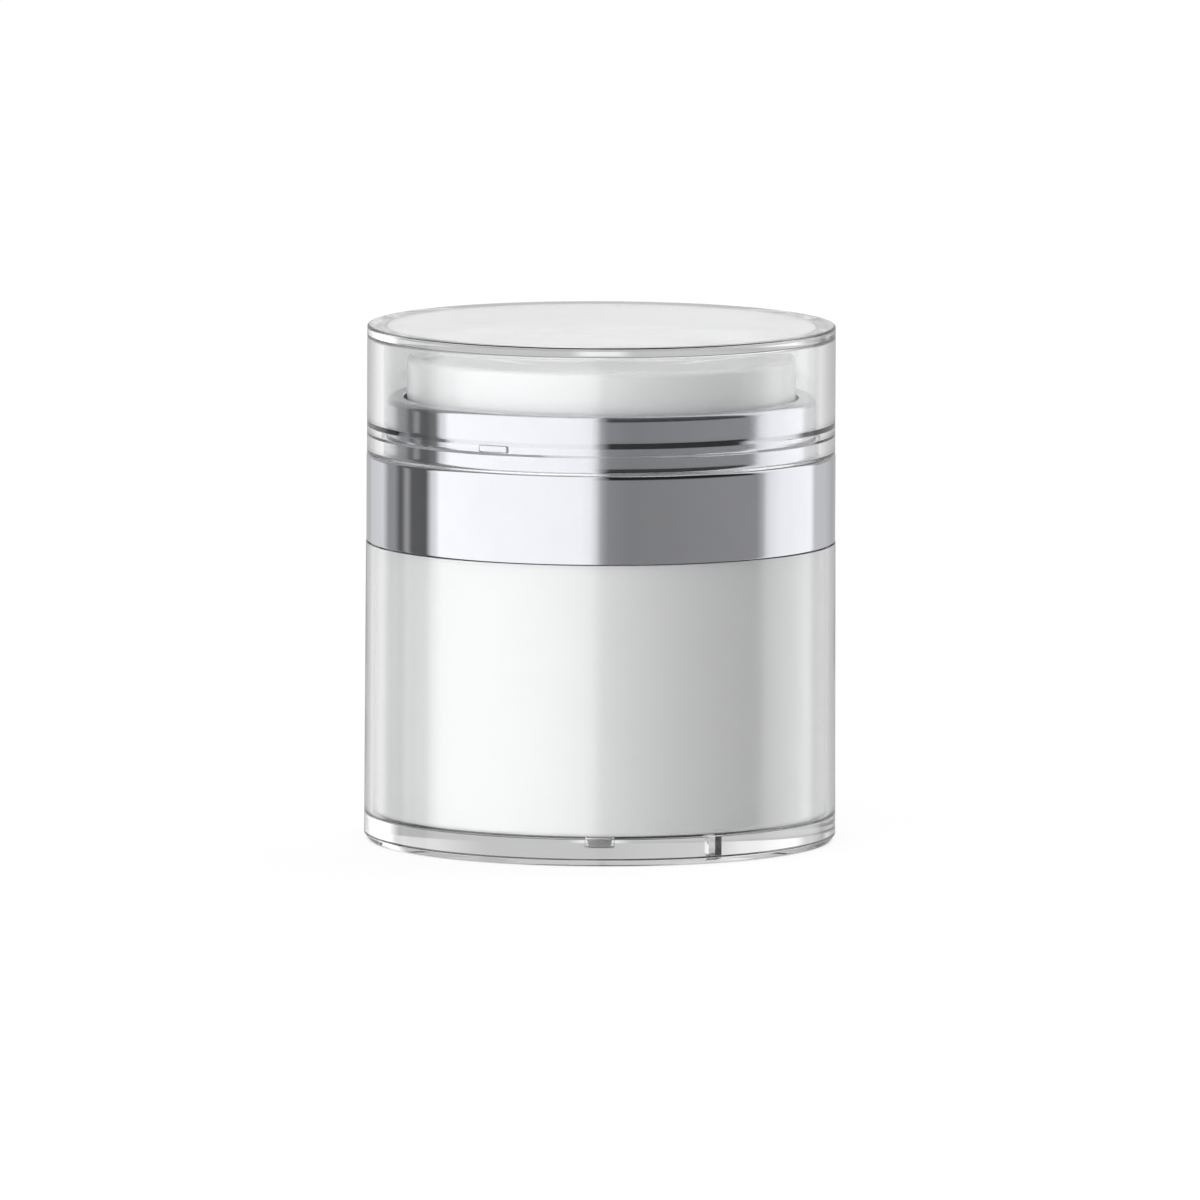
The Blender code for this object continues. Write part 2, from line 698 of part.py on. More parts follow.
def make_pump_deck():
    ring_inner = spring_outer_radius + RUNNING_GAP
    ring_outer = ring_inner + DECK_RING_WALL
    plug_inner = plug_radius - DECK_PLUG_WALL
    deck = turned(
        "pump_deck",
        [
            (deck_radius, DECK_THICKNESS, 0),
            (deck_radius, 0, 0),
            (plug_radius, 0, 0),
            (plug_radius, -DECK_PLUG_DEPTH, 0),
            (plug_inner, -DECK_PLUG_DEPTH, 0),
            (plug_inner, 0, 0),
            (deck_hole_radius, 0, 0),
            (deck_hole_radius, DECK_THICKNESS, 0),
            (ring_inner, DECK_THICKNESS, 0),
            (ring_inner, DECK_THICKNESS + DECK_RING_HEIGHT, 0),
            (ring_outer, DECK_THICKNESS + DECK_RING_HEIGHT, 0),
            (ring_outer, DECK_THICKNESS, 0),
        ],
        HIDDEN_STEPS,
        parts,
        unit_body,
        deck_z,
    )
    rib_height = DECK_RIB_DEPTH + BITE
    rib_start = deck_hole_radius + DECK_THICKNESS
    rib_end = plug_inner + BITE
    for index in range(DECK_RIBS):
        rib = block(
            f"deck_rib_{index + 1}",
            DECK_RIB_THICKNESS,
            rib_end - rib_start,
            rib_height,
            (rib_start + rib_end) / 2,
            deck_z - DECK_RIB_DEPTH + rib_height / 2,
            index * 360 / DECK_RIBS,
        )
        combine(deck, rib, "UNION")
    return deck, white_resin


def make_cylinder_seal():
    seal = turned(
        "cylinder_seal",
        [
            (cylinder_flange_radius, SEAL_THICKNESS, 0),
            (cylinder_flange_radius, 0, 0),
            (deck_hole_radius, 0, 0),
            (deck_hole_radius, SEAL_THICKNESS, 0),
        ],
        SMALL_STEPS,
        parts,
        unit_body,
        seal_z,
    )
    return seal, soft_seal


def make_pump_cylinder():
    height = cylinder_top_z - cylinder_z
    flange = cylinder_flange_z - cylinder_z
    cylinder = turned(
        "pump_cylinder",
        [
            (cylinder_radius, height, 0),
            (cylinder_radius, flange + CYLINDER_FLANGE_THICKNESS, 0),
            (cylinder_flange_radius, flange + CYLINDER_FLANGE_THICKNESS, 0),
            (cylinder_flange_radius, flange, 0),
            (cylinder_radius, flange, 0),
            (cylinder_radius, 0, CYLINDER_WALL),
            (INLET_HOLE_RADIUS, 0, 0),
            (INLET_HOLE_RADIUS, CYLINDER_FLOOR, 0),
            (CYLINDER_BORE_RADIUS, CYLINDER_FLOOR, 0),
            (CYLINDER_BORE_RADIUS, height, 0),
        ],
        SMALL_STEPS,
        parts,
        unit_body,
        cylinder_z,
    )
    return cylinder, natural_resin


def make_guide_bush():
    bore_radius = STEM_RADIUS + RUNNING_GAP
    plug = CYLINDER_BORE_RADIUS - RUNNING_GAP
    bush = turned(
        "guide_bush",
        [
            (cylinder_radius, BUSH_PLUG_DEPTH + BUSH_CAP_THICKNESS, BUSH_CAP_THICKNESS / 2),
            (cylinder_radius, BUSH_PLUG_DEPTH, 0),
            (plug, BUSH_PLUG_DEPTH, 0),
            (plug, 0, 0),
            (bore_radius, 0, 0),
            (bore_radius, BUSH_PLUG_DEPTH + BUSH_CAP_THICKNESS, 0),
        ],
        SMALL_STEPS,
        parts,
        unit_body,
        bush_top_z - BUSH_CAP_THICKNESS - BUSH_PLUG_DEPTH,
    )
    return bush, white_resin


def spring_points():
    """Points up the spring's helix, with a finer pitch in the first and last turn."""
    length = spring_top_z - spring_z - SPRING_WIRE
    middle_pitch = (length - 2 * SPRING_END_PITCH) / (SPRING_TURNS - 2)
    turn = np.linspace(0, SPRING_TURNS, round(SPRING_TURNS * SPRING_POINTS_PER_TURN) + 1)
    known_turns = [0, 1, SPRING_TURNS - 1, SPRING_TURNS]
    known_heights = [0, SPRING_END_PITCH, length - SPRING_END_PITCH, length]
    height = np.interp(turn, known_turns, known_heights)
    angle = math.tau * turn
    points = np.column_stack((np.cos(angle) * spring_radius, np.sin(angle) * spring_radius, height))
    least_pitch = min(middle_pitch, SPRING_END_PITCH)
    gap = least_pitch - SPRING_WIRE
    print(f"return_spring: least gap between coils {gap / MM:.2f} mm, allowed {LEAST_COIL_GAP / MM:.2f} mm")
    return points


def make_return_spring():
    points = spring_points()
    curve = bpy.data.curves.new("return_spring", "CURVE")
    curve.dimensions = "3D"
    curve.bevel_depth = SPRING_WIRE / 2
    curve.bevel_resolution = 1
    curve.use_fill_caps = True
    spline = curve.splines.new("POLY")
    spline.points.add(len(points) - 1)
    for point, place in zip(spline.points, points):
        point.co = (*place, 1)
    guide = add_object("spring_guide", curve, cutters)
    graph = bpy.context.evaluated_depsgraph_get()
    mesh = bpy.data.meshes.new_from_object(guide.evaluated_get(graph))
    bpy.data.objects.remove(guide)
    shape = bmesh.new()
    shape.from_mesh(mesh)
    bmesh.ops.remove_doubles(shape, verts=shape.verts[:], dist=WELD_DISTANCE)
    shape.to_mesh(mesh)
    shape.free()
    spring = add_object("return_spring", mesh, parts, unit_body, spring_z + SPRING_WIRE / 2)
    return spring, spring_steel


def make_press_plate():
    top = plate_top_z - plate_z
    underside = top - PLATE_THICKNESS
    skirt_inner = plate_radius - PLATE_SKIRT_WALL
    retainer_inner = core_radius + RUNNING_GAP
    retainer_outer = retainer_inner + PLATE_RETAINER_WALL
    dish = top - PLATE_DISH_DEPTH
    counterbore = dish - NOZZLE_FLANGE_THICKNESS - VALVE_GAP
    flange_seat = NOZZLE_RADIUS + NOZZLE_FLANGE_WIDTH + STEM_FIT
    hole = NOZZLE_RADIUS + STEM_FIT
    plate = turned(
        "press_plate",
        [
            (plate_radius, top, PLATE_EDGE_ROUND),
            (plate_radius, 0, 0),
            (skirt_inner, 0, 0),
            (skirt_inner, underside, JAR_CORNER_ROUND),
            (retainer_outer, underside, 0),
            (retainer_outer, underside - PLATE_RETAINER_DEPTH, 0),
            (retainer_inner, underside - PLATE_RETAINER_DEPTH, 0),
            (retainer_inner, underside, 0),
            (hole, underside, 0),
            (hole, counterbore, 0),
            (flange_seat, counterbore, 0),
            (flange_seat, dish, 0),
            (PLATE_DISH_RADIUS - PLATE_DISH_SLOPE, dish, 0),
            (PLATE_DISH_RADIUS, top, 0),
        ],
        WIDE_STEPS,
        parts,
        press_body,
        plate_z,
    )
    return plate, pearl_white


def make_actuator_core():
    top = core_top_z - boss_z
    disc = top - CORE_THICKNESS
    ring_inner = spring_outer_radius + RUNNING_GAP
    ring_outer = ring_inner + CORE_RING_WALL
    core = turned(
        "actuator_core",
        [
            (core_radius, top, 0),
            (core_radius, disc, 0),
            (ring_outer, disc, 0),
            (ring_outer, disc - CORE_RING_DEPTH, 0),
            (ring_inner, disc - CORE_RING_DEPTH, 0),
            (ring_inner, disc, 0),
            (boss_radius, disc, 0),
            (boss_radius, 0, 0),
            (boss_bore_radius, 0, 0),
            (boss_bore_radius, top, 0),
        ],
        HIDDEN_STEPS,
        parts,
        press_body,
        boss_z,
    )
    return core, white_resin


def make_outlet_nozzle():
    dish_z = plate_top_z - PLATE_DISH_DEPTH
    bottom_z = core_top_z + SEAT_GAP
    height = dish_z - bottom_z
    flange_radius = NOZZLE_RADIUS + NOZZLE_FLANGE_WIDTH
    nozzle = turned(
        "outlet_nozzle",
        [
            (flange_radius, height, 0),
            (flange_radius, height - NOZZLE_FLANGE_THICKNESS, 0),
            (NOZZLE_RADIUS, height - NOZZLE_FLANGE_THICKNESS, 0),
            (NOZZLE_RADIUS, 0, 0),
            (NOZZLE_ORIFICE_RADIUS, 0, 0),
            (NOZZLE_ORIFICE_RADIUS, height, 0),
        ],
        SMALL_STEPS,
        parts,
        press_body,
        bottom_z,
    )
    return nozzle, white_resin


def make_outlet_valve():
    valve = turned(
        "outlet_valve",
        [
            (0, VALVE_GUIDE_LENGTH + VALVE_HEAD_THICKNESS, 0),
            (VALVE_HEAD_RADIUS, VALVE_GUIDE_LENGTH + VALVE_HEAD_THICKNESS, 0),
            (VALVE_HEAD_RADIUS, VALVE_GUIDE_LENGTH, 0),
            (VALVE_STEM_RADIUS, VALVE_GUIDE_LENGTH, 0),
            (VALVE_STEM_RADIUS, 0, 0),
            (0, 0, 0),
        ],
        SMALL_STEPS,
        parts,
        outlet_valve_body,
        stem_top_z + VALVE_GAP - VALVE_GUIDE_LENGTH,
    )
    return valve, soft_seal


def make_inlet_valve():
    shank = VALVE_GAP + CYLINDER_FLOOR + VALVE_LIFT + VALVE_GAP
    barb_radius = VALVE_STEM_RADIUS + VALVE_BARB_WIDTH
    head = VALVE_BARB_THICKNESS + shank
    valve = turned(
        "inlet_valve",
        [
            (0, head + VALVE_HEAD_THICKNESS, 0),
            (VALVE_HEAD_RADIUS, head + VALVE_HEAD_THICKNESS, 0),
            (VALVE_HEAD_RADIUS, head, 0),
            (VALVE_STEM_RADIUS, head, 0),
            (VALVE_STEM_RADIUS, VALVE_BARB_THICKNESS, 0),
            (barb_radius, VALVE_BARB_THICKNESS, 0),
            (VALVE_STEM_RADIUS, 0, 0),
            (0, 0, 0),
        ],
        SMALL_STEPS,
        parts,
        inlet_valve_body,
        cylinder_floor_z + VALVE_GAP - head,
    )
    return valve, soft_seal


def make_pump_stem():
    height = stem_top_z - stem_z
    foot_radius = STEM_RADIUS + STEM_FOOT_WIDTH
    stem = turned(
        "pump_stem",
        [
            (STEM_RADIUS, height, 0),
            (STEM_RADIUS, STEM_FOOT_THICKNESS, 0),
            (foot_radius, STEM_FOOT_THICKNESS, 0),
            (foot_radius, 0, 0),
            (STEM_BORE_RADIUS, 0, 0),
            (STEM_BORE_RADIUS, height, 0),
        ],
        SMALL_STEPS,
        parts,
        press_body,
        stem_z,
    )
    return stem, natural_resin


def make_stem_piston():
    lip = CYLINDER_BORE_RADIUS - LIP_GAP
    waist = lip - PISTON_WAIST_DEPTH
    piston = turned(
        "stem_piston",
        [
            (lip, PISTON_HEIGHT, 0),
            (waist, PISTON_HEIGHT - PISTON_LIP_HEIGHT, 0),
            (waist, PISTON_LIP_HEIGHT, 0),
            (lip, 0, 0),
            (lip - PISTON_WAIST_DEPTH, 0, 0),
            (STEM_RADIUS + STEM_FIT, 0, 0),
            (STEM_RADIUS + STEM_FIT, PISTON_HEIGHT, 0),
        ],
        SMALL_STEPS,
        parts,
        press_body,
        piston_z,
    )
    return piston, soft_seal


def make_overcap():
    height = cap_top_z - cap_z
    ceiling = height - CAP_TOP_THICKNESS
    groove_middle = NUB_RISE - SEAM_GAP
    groove_top = groove_middle + CAP_GROOVE_HEIGHT / 2
    groove_bottom = groove_middle - CAP_GROOVE_HEIGHT / 2
    groove_radius = cap_bore_radius + CAP_GROOVE_DEPTH
    cap = turned(
        "overcap",
        [
            (0, height, 0),
            (cap_radius, height, CAP_EDGE_ROUND),
            (cap_radius, 0, CAP_RIM_EDGE),
            (cap_bore_radius, 0, CAP_RIM_INNER_EDGE),
            (cap_bore_radius, groove_bottom, 0),
            (groove_radius, groove_bottom + CAP_GROOVE_LOWER_SLOPE, 0),
            (groove_radius, groove_top - CAP_GROOVE_UPPER_SLOPE, 0),
            (cap_bore_radius, groove_top, 0),
            (cap_bore_radius, ceiling, CAP_INNER_ROUND),
            (0, ceiling, 0),
        ],
        WIDE_STEPS,
        parts,
        overcap_body,
        cap_z,
    )
    return cap, clear_acrylic


for make in (
    make_outer_jar,
    make_pearl_liner,
    make_inner_jar,
    make_follower_piston,
    make_deck_gasket,
    make_screw_ring,
    make_shoulder_shell,
    make_pump_deck,
    make_cylinder_seal,
    make_pump_cylinder,
    make_guide_bush,
    make_return_spring,
    make_press_plate,
    make_actuator_core,
    make_outlet_nozzle,
    make_outlet_valve,
    make_pump_stem,
    make_stem_piston,
    make_inlet_valve,
    make_overcap,
):
    piece, material = make()
    settled(piece)
    piece.data.shade_smooth()
    piece.data.set_sharp_from_angle(angle=SHARP_ANGLE)
    piece.data.materials.clear()
    piece.data.materials.append(material)
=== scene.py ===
import math

import bpy
import numpy as np
from mathutils import Matrix, Vector


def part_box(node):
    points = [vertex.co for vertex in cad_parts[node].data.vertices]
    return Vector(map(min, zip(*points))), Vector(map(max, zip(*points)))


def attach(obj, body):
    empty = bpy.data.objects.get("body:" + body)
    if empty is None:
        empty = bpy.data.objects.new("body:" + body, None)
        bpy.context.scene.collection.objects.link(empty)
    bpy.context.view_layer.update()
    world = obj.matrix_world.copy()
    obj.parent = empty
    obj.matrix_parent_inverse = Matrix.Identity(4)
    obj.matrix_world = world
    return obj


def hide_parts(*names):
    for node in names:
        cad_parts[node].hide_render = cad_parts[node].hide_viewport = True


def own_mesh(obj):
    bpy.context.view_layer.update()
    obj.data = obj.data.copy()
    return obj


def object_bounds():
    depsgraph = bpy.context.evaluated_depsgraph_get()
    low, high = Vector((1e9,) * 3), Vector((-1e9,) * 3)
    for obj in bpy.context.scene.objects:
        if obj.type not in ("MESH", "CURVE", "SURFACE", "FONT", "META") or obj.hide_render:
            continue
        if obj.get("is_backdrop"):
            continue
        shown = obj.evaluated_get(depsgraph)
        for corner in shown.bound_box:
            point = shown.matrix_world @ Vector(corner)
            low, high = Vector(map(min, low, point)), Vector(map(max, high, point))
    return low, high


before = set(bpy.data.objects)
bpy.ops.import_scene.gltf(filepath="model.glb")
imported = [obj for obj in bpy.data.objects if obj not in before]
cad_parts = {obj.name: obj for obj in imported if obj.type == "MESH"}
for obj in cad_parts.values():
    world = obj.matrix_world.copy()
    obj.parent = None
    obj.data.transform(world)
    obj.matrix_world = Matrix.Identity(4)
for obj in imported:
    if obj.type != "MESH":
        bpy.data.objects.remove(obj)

# Airless pump jar: clear shell over a pearl liner, plated shoulder, press plate, clear overcap.
# Lengths below are in mm. The jar stands on z = 0 with its axis on Z, and its front faces -Y.

mm = 0.001
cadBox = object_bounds()
fineRound = 0.08  # edge rounding of a moulded corner that has no rounding of its own
tip, crisp, eased, soft, broad = 0.05, 0.1, 0.15, 0.2, 0.3  # other roundings that pieces share
arcSteps = 5  # segments in each rounded corner
supportReach = 0.25  # how far a support point lies from a rounding
mostOfEdge = 0.42  # share of an edge that a rounding may take
supportShare = 0.3  # share of what is left of half an edge that a support point may take
nearlyOne = 0.9999  # cosine at which two edges count as one line
blockEndRings = 5  # rings in a block's rounded end
away = np.array([100.0, 0.0])  # a section is rounded this far out, so that it has no corner on the axis
sharpFrom = 38  # degrees between two faces from which their edge is shaded sharp
sink = 0.5  # how far a rib, tab or thread is sunk into its wall before the union


# Surfaces

def added(name, data):
    made = bpy.data.objects.new(name, data)
    bpy.context.scene.collection.objects.link(made)
    return made


def heights(node):
    low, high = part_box(node)
    return low.z / mm, high.z / mm


def softOutline(corners):
    # Each corner (radius, height, rounding) becomes an arc that touches both of its edges, with a
    # support point on each side. An arc point is the centre plus the turned radius:
    # (start * sin((1 - t) * sweep) + end * sin(t * sweep)) / sin(sweep), for t from 0 to 1.
    # A corner on the axis stays as it is.
    here = np.array([corner[:2] for corner in corners], float)
    rounding = np.array([corner[2] if len(corner) > 2 else fineRound for corner in corners])
    before = np.roll(here, 1, 0) - here
    after = np.roll(here, -1, 0) - here
    lengthBefore = np.linalg.norm(before, axis=1)
    lengthAfter = np.linalg.norm(after, axis=1)
    before = before / lengthBefore[:, None]
    after = after / lengthAfter[:, None]
    half = np.arccos(np.clip((before * after).sum(1), -nearlyOne, nearlyOne)) / 2
    shortest = np.minimum(lengthBefore, lengthAfter)
    reach = np.minimum(rounding / np.tan(half), mostOfEdge * shortest)
    radius = reach * np.tan(half)
    inward = before + after
    inward = inward / np.linalg.norm(inward, axis=1)[:, None]
    centre = here + inward * (radius / np.sin(half))[:, None]
    start = here + before * reach[:, None] - centre
    end = here + after * reach[:, None] - centre
    sweep = (math.pi - 2 * half)[:, None, None]
    t = np.linspace(0, 1, arcSteps + 1)[None, :, None]
    turned = start[:, None] * np.sin((1 - t) * sweep) + end[:, None] * np.sin(t * sweep)
    arc = centre[:, None] + turned / np.sin(sweep)
    support = np.minimum(supportReach, supportShare * (0.5 * shortest - reach))[:, None]
    first = here + before * (reach[:, None] + support)
    last = here + after * (reach[:, None] + support)
    rounded = np.concatenate([first[:, None], arc, last[:, None]], axis=1)
    onAxis = here[:, 0] == 0
    corners = zip(here, onAxis, rounded)
    return np.concatenate([point[None] if flat else bend for point, flat, bend in corners])


def closedSurface(name, grid, rowsClose=False, poles=None):
    # A grid of rows x columns points in mm. The columns close on themselves. The rows close too, or
    # both ends are closed by a fan of triangles to a pole. Faces are turned round if the signed
    # volume, the sum of v0 . (v1 x v2) / 6 over the triangles, is negative.
    rows, columns = grid.shape[:2]
    points = grid.reshape(-1, 3)
    row = np.arange(rows if rowsClose else rows - 1)[:, None]
    column = np.arange(columns)[None, :]
    nextRow = (row + 1) % rows
    nextColumn = (column + 1) % columns
    start, following = row * columns, nextRow * columns
    corners = [start + column, following + column, following + nextColumn, start + nextColumn]
    quads = np.stack(corners, axis=-1).reshape(-1, 4)
    fans = np.empty((0, 3), int)
    if poles is not None:
        top = len(points)
        points = np.concatenate([points, np.array(poles, float)])
        ring = np.arange(columns)
        ringNext = (ring + 1) % columns
        bottomRing = (rows - 1) * columns
        firstFan = np.stack([np.full(columns, top), ring, ringNext], axis=-1)
        lastFan = np.stack([bottomRing + ring, np.full(columns, top + 1), bottomRing + ringNext], axis=-1)
        fans = np.concatenate([firstFan, lastFan])
    triangles = np.concatenate([quads[:, [0, 1, 2]], quads[:, [0, 2, 3]], fans])
    corner = points[triangles]
    volume = np.einsum("ij,ij->i", corner[:, 0], np.cross(corner[:, 1], corner[:, 2])).sum()
    if volume < 0:
        quads = quads[:, ::-1]
        fans = fans[:, ::-1]
    mesh = bpy.data.meshes.new(name)
    mesh.from_pydata(points * mm, [], quads.tolist() + fans.tolist())
    return added(name, mesh)


def turnedSurface(name, size, corners, steps):
    # The outline (radius, height) turned round Z: (radius * cos a, radius * sin a, height) for a
    # from 0 to a full turn. An outline that starts and ends on the axis gets poles there. A corner
    # may give its radius, height or rounding as the name of one of the piece's values.
    named = [[size[value] if isinstance(value, str) else value for value in corner] for corner in corners]
    outline = softOutline(named)
    area = (outline[:, 0] * np.roll(outline[:, 1], -1) - np.roll(outline[:, 0], -1) * outline[:, 1]).sum()
    if area > 0:
        outline = outline[::-1]
    onAxis = np.flatnonzero(outline[:, 0] == 0)
    if len(onAxis):
        firstPole = onAxis[np.roll(outline[:, 0] == 0, 1)[onAxis]][0]
        outline = np.roll(outline, -firstPole, axis=0)
    turn = np.linspace(0, math.tau, steps, endpoint=False)
    radius, height = outline[:, :1], outline[:, 1:]
    grid = np.stack([radius * np.cos(turn), radius * np.sin(turn), height * np.ones(steps)], axis=-1)
    if len(onAxis):
        return closedSurface(name, grid[1:-1], poles=[grid[0, 0], grid[-1, 0]])
    return closedSurface(name, grid, rowsClose=True)


def blockSurface(name, width, height, depth, radius, z, azimuth=0.0, corner=soft, edge=fineRound, taper=1.0):
    # A block that lies along the radius: a rounded rectangle, width across and height up, carried
    # from its inner to its outer end. Near each end it shrinks by edge * (1 - sin b) while it moves
    # edge * (1 - cos b), a quarter circle. The lower half narrows linearly down to the taper.
    x, y = width / 2, height / 2
    ring = softOutline([(-x, y, corner), (x, y, corner), (x, -y, corner), (-x, -y, corner)])
    b = np.linspace(0, math.pi / 2, blockEndRings)
    shrink = edge * (1 - np.sin(b))
    along = edge * (1 - np.cos(b))
    shrink = np.concatenate([shrink, shrink[::-1]])
    along = np.concatenate([along, depth - along[::-1]]) - depth / 2
    across = ring[None, :, 0] * (1 - 2 * shrink / width)[:, None]
    up = ring[None, :, 1] * (1 - 2 * shrink / height)[:, None]
    narrow = 1 - (1 - taper) * np.clip(0.5 - up / height, 0, 1)
    a = math.radians(azimuth)
    outward = np.array([math.sin(a), -math.cos(a), 0])
    sideways = np.array([math.cos(a), math.sin(a), 0])
    middle = np.array([0, 0, z])
    grid = (
        (across * narrow)[..., None] * sideways
        + up[..., None] * np.array([0, 0, 1])
        + (radius + along)[:, None, None] * outward
        + middle
    )
    poles = [middle + outward * (radius - depth / 2), middle + outward * (radius + depth / 2)]
    return closedSurface(name, grid, poles=poles)


def threadSurface(name, wallRadius, outward, z, thread):
    # A ridge on a helix: at turn a the section's middle lies at height z + rise * a / last turn, and
    # the ridge's height fades in and out over the first and last part of a turn as
    # sin(pi / 2 * share) ^ fadePower. The section is a trapezoid with a rounded crest.
    rise, endWidth = thread["rise"], thread["endWidthShare"]
    half, crest = thread["rootWidth"] / 2, thread["crestWidth"] / 2
    wall, top = away[0], away[0] + thread["height"]
    lower = [(top, -crest, soft), (wall, -half), (wall - sink, -half)]
    section = softOutline([(wall - sink, half), (wall, half), (top, crest, soft), *lower]) - away
    turns = rise / thread["pitch"]
    share = np.linspace(0, 1, round(thread["stepsPerTurn"] * turns))
    a = share * turns * math.tau
    lead = np.clip(np.minimum(share, 1 - share) * turns / thread["leadTurns"], thread["leastShare"], 1)
    fade = np.sin(math.pi / 2 * lead) ** thread["fadePower"]
    ridge = np.where(section[:, 0] > 0, section[:, 0], 0)
    root = np.where(section[:, 0] > 0, 0, section[:, 0])
    radius = wallRadius + outward * (root[None] + ridge[None] * fade[:, None])
    width = endWidth + (1 - endWidth) * fade[:, None]
    height = z + share[:, None] * rise + section[None, :, 1] * width
    grid = np.stack([radius * np.cos(a)[:, None], radius * np.sin(a)[:, None], height], axis=-1)
    return closedSurface(name, grid, poles=[grid[0].mean(0), grid[-1].mean(0)])


def tubeSurface(name, centre, size):
    # A round wire along a centre line: centre + wire * (cos b * normal + sin b * binormal), where
    # the normal points away from Z's axis. The wire's ends are rounded off: there its radius is
    # wire * sqrt(1 - (1 - distance / rounding) ^ 2).
    wire, sides = size["wireRadius"], size["sides"]
    tangent = np.gradient(centre, axis=0)
    tangent /= np.linalg.norm(tangent, axis=1)[:, None]
    normal = centre * np.array([1, 1, 0])
    normal -= (normal * tangent).sum(1)[:, None] * tangent
    normal /= np.linalg.norm(normal, axis=1)[:, None]
    binormal = np.cross(tangent, normal)
    travelled = np.concatenate([[0], np.cumsum(np.linalg.norm(np.diff(centre, axis=0), axis=1))])
    fromEnd = np.minimum(travelled, travelled[-1] - travelled)
    rounding = wire * size["endRoundShare"]
    swell = np.sqrt(1 - np.clip(1 - fromEnd / rounding, 0, size["endCutShare"]) ** 2)
    b = np.linspace(0, math.tau, sides, endpoint=False)
    ring = np.cos(b)[None, :, None] * normal[:, None] + np.sin(b)[None, :, None] * binormal[:, None]
    grid = centre[:, None] + wire * swell[:, None, None] * ring
    piece = closedSurface(name, grid, poles=[centre[0], centre[-1]])
    wireMap = piece.data.uv_layers.new(name="wire")
    corner = np.empty(len(piece.data.loops), int)
    piece.data.loops.foreach_get("vertex_index", corner)
    ringIndex = np.minimum(corner // sides, len(centre) - 1)
    uv = np.stack([travelled[ringIndex] * mm, (corner % sides) / sides], axis=-1)
    wireMap.data.foreach_set("uv", uv.ravel())
    return piece


def joined(piece, others, operation="UNION"):
    # Joins the other closed surfaces to the piece, or cuts them out of it, and removes them.
    for other in others:
        boolean = piece.modifiers.new(other.name, "BOOLEAN")
        boolean.operation = operation
        boolean.solver = "EXACT"
        boolean.object = other
    graph = bpy.context.evaluated_depsgraph_get()
    mesh = bpy.data.meshes.new_from_object(piece.evaluated_get(graph))
    piece.modifiers.clear()
    piece.data = mesh
    for other in others:
        bpy.data.objects.remove(other)
    return piece


def merged(name, parts):
    # Several separate closed surfaces as one object, so that one union takes them all.
    corners = [np.array([v.co for v in part.data.vertices]) for part in parts]
    starts = np.cumsum([0] + [len(points) for points in corners[:-1]])
    faces = [
        [index + start for index in face.vertices]
        for part, start in zip(parts, starts)
        for face in part.data.polygons
    ]
    mesh = bpy.data.meshes.new(name)
    mesh.from_pydata(np.concatenate(corners), [], faces)
    for part in parts:
        bpy.data.objects.remove(part)
    return added(name, mesh)


def placed(piece, body, node, slot, material=None):
    piece.data.name = piece.name
    piece.data.shade_smooth()
    piece.data.set_sharp_from_angle(angle=math.radians(sharpFrom))
    piece.data.materials.clear()
    piece.data.materials.append(material or madeOf[slot])
    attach(piece, body)
    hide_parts(node)
    print("piece:", piece.name, "on", body, "for", node, len(piece.data.polygons), "faces")


def turnedPiece(name, size, outline, steps, body, node, slot):
    placed(turnedSurface(name, size, outline, steps), body, node, slot)


def spokes(name, count, width, height, start, end, top, first=0.0, **shape):
    # Blocks along the radius from start to end, evenly round the axis, as one object.
    size = (width, height, end - start)
    place = ((end + start) / 2, top - height / 2)
    blocks = [
        blockSurface(f"{name}{index}", *size, *place, first + index * 360 / count, **shape)
        for index in range(count)
    ]
    return merged(name + "s", blocks)


# Materials

smooth, fine, cloudy, mottled = 1.0, 2.0, 3.0, 4.0  # octaves of noise
evenTones = 0.5  # weight of a noise's finer octaves
deepTones = 0.6
evenNoise = 0.5  # a noise's average
mixInputs = (6, 7)  # a mix node's two color sockets, and its color output
mixOutput = 2


def newMaterial(name, values=None):
    material = bpy.data.materials.new(name)
    material.use_nodes = True
    tree = material.node_tree
    shader = tree.nodes["Principled BSDF"]
    for key, value in (values or {}).items():
        shader.inputs[key].default_value = value
    return material, tree, shader


def node(tree, kind, settings=None, values=None, links=None):
    made = tree.nodes.new("ShaderNode" + kind)
    for key, value in (settings or {}).items():
        setattr(made, key, value)
    for key, value in (values or {}).items():
        made.inputs[key].default_value = value
    for key, socket in (links or {}).items():
        tree.links.new(socket, made.inputs[key])
    return made


def objectPoint(tree):
    return node(tree, "TexCoord").outputs["Object"]


def noise(tree, point, size, octaves=fine, tones=evenTones):
    # size: how large the noise's features are, in mm
    values = {"Scale": 1 / (size * mm), "Detail": octaves, "Roughness": tones}
    return node(tree, "TexNoise", values=values, links={"Vector": point}).outputs["Fac"]


def ranged(tree, value, low, high, fromLow=0.3, fromHigh=0.7):  # where most noise lies
    values = {"From Min": fromLow, "From Max": fromHigh, "To Min": low, "To Max": high}
    return node(tree, "MapRange", values=values, links={"Value": value}).outputs["Result"]


def mixed(tree, factor, first, second):
    # Each of the two is a color, a grey level or a socket.
    made = node(tree, "Mix", {"data_type": "RGBA"}, links={"Factor": factor})
    for index, value in zip(mixInputs, (first, second)):
        if isinstance(value, tuple):
            made.inputs[index].default_value = (*value, 1)
        elif isinstance(value, float):
            made.inputs[index].default_value = (value, value, value, 1)
        else:
            tree.links.new(value, made.inputs[index])
    return made.outputs[mixOutput]


def calculated(tree, operation, first, second):
    made = node(tree, "Math", {"operation": operation})
    for index, value in enumerate((first, second)):
        if isinstance(value, (int, float)):
            made.inputs[index].default_value = value
        else:
            tree.links.new(value, made.inputs[index])
    return made.outputs[0]


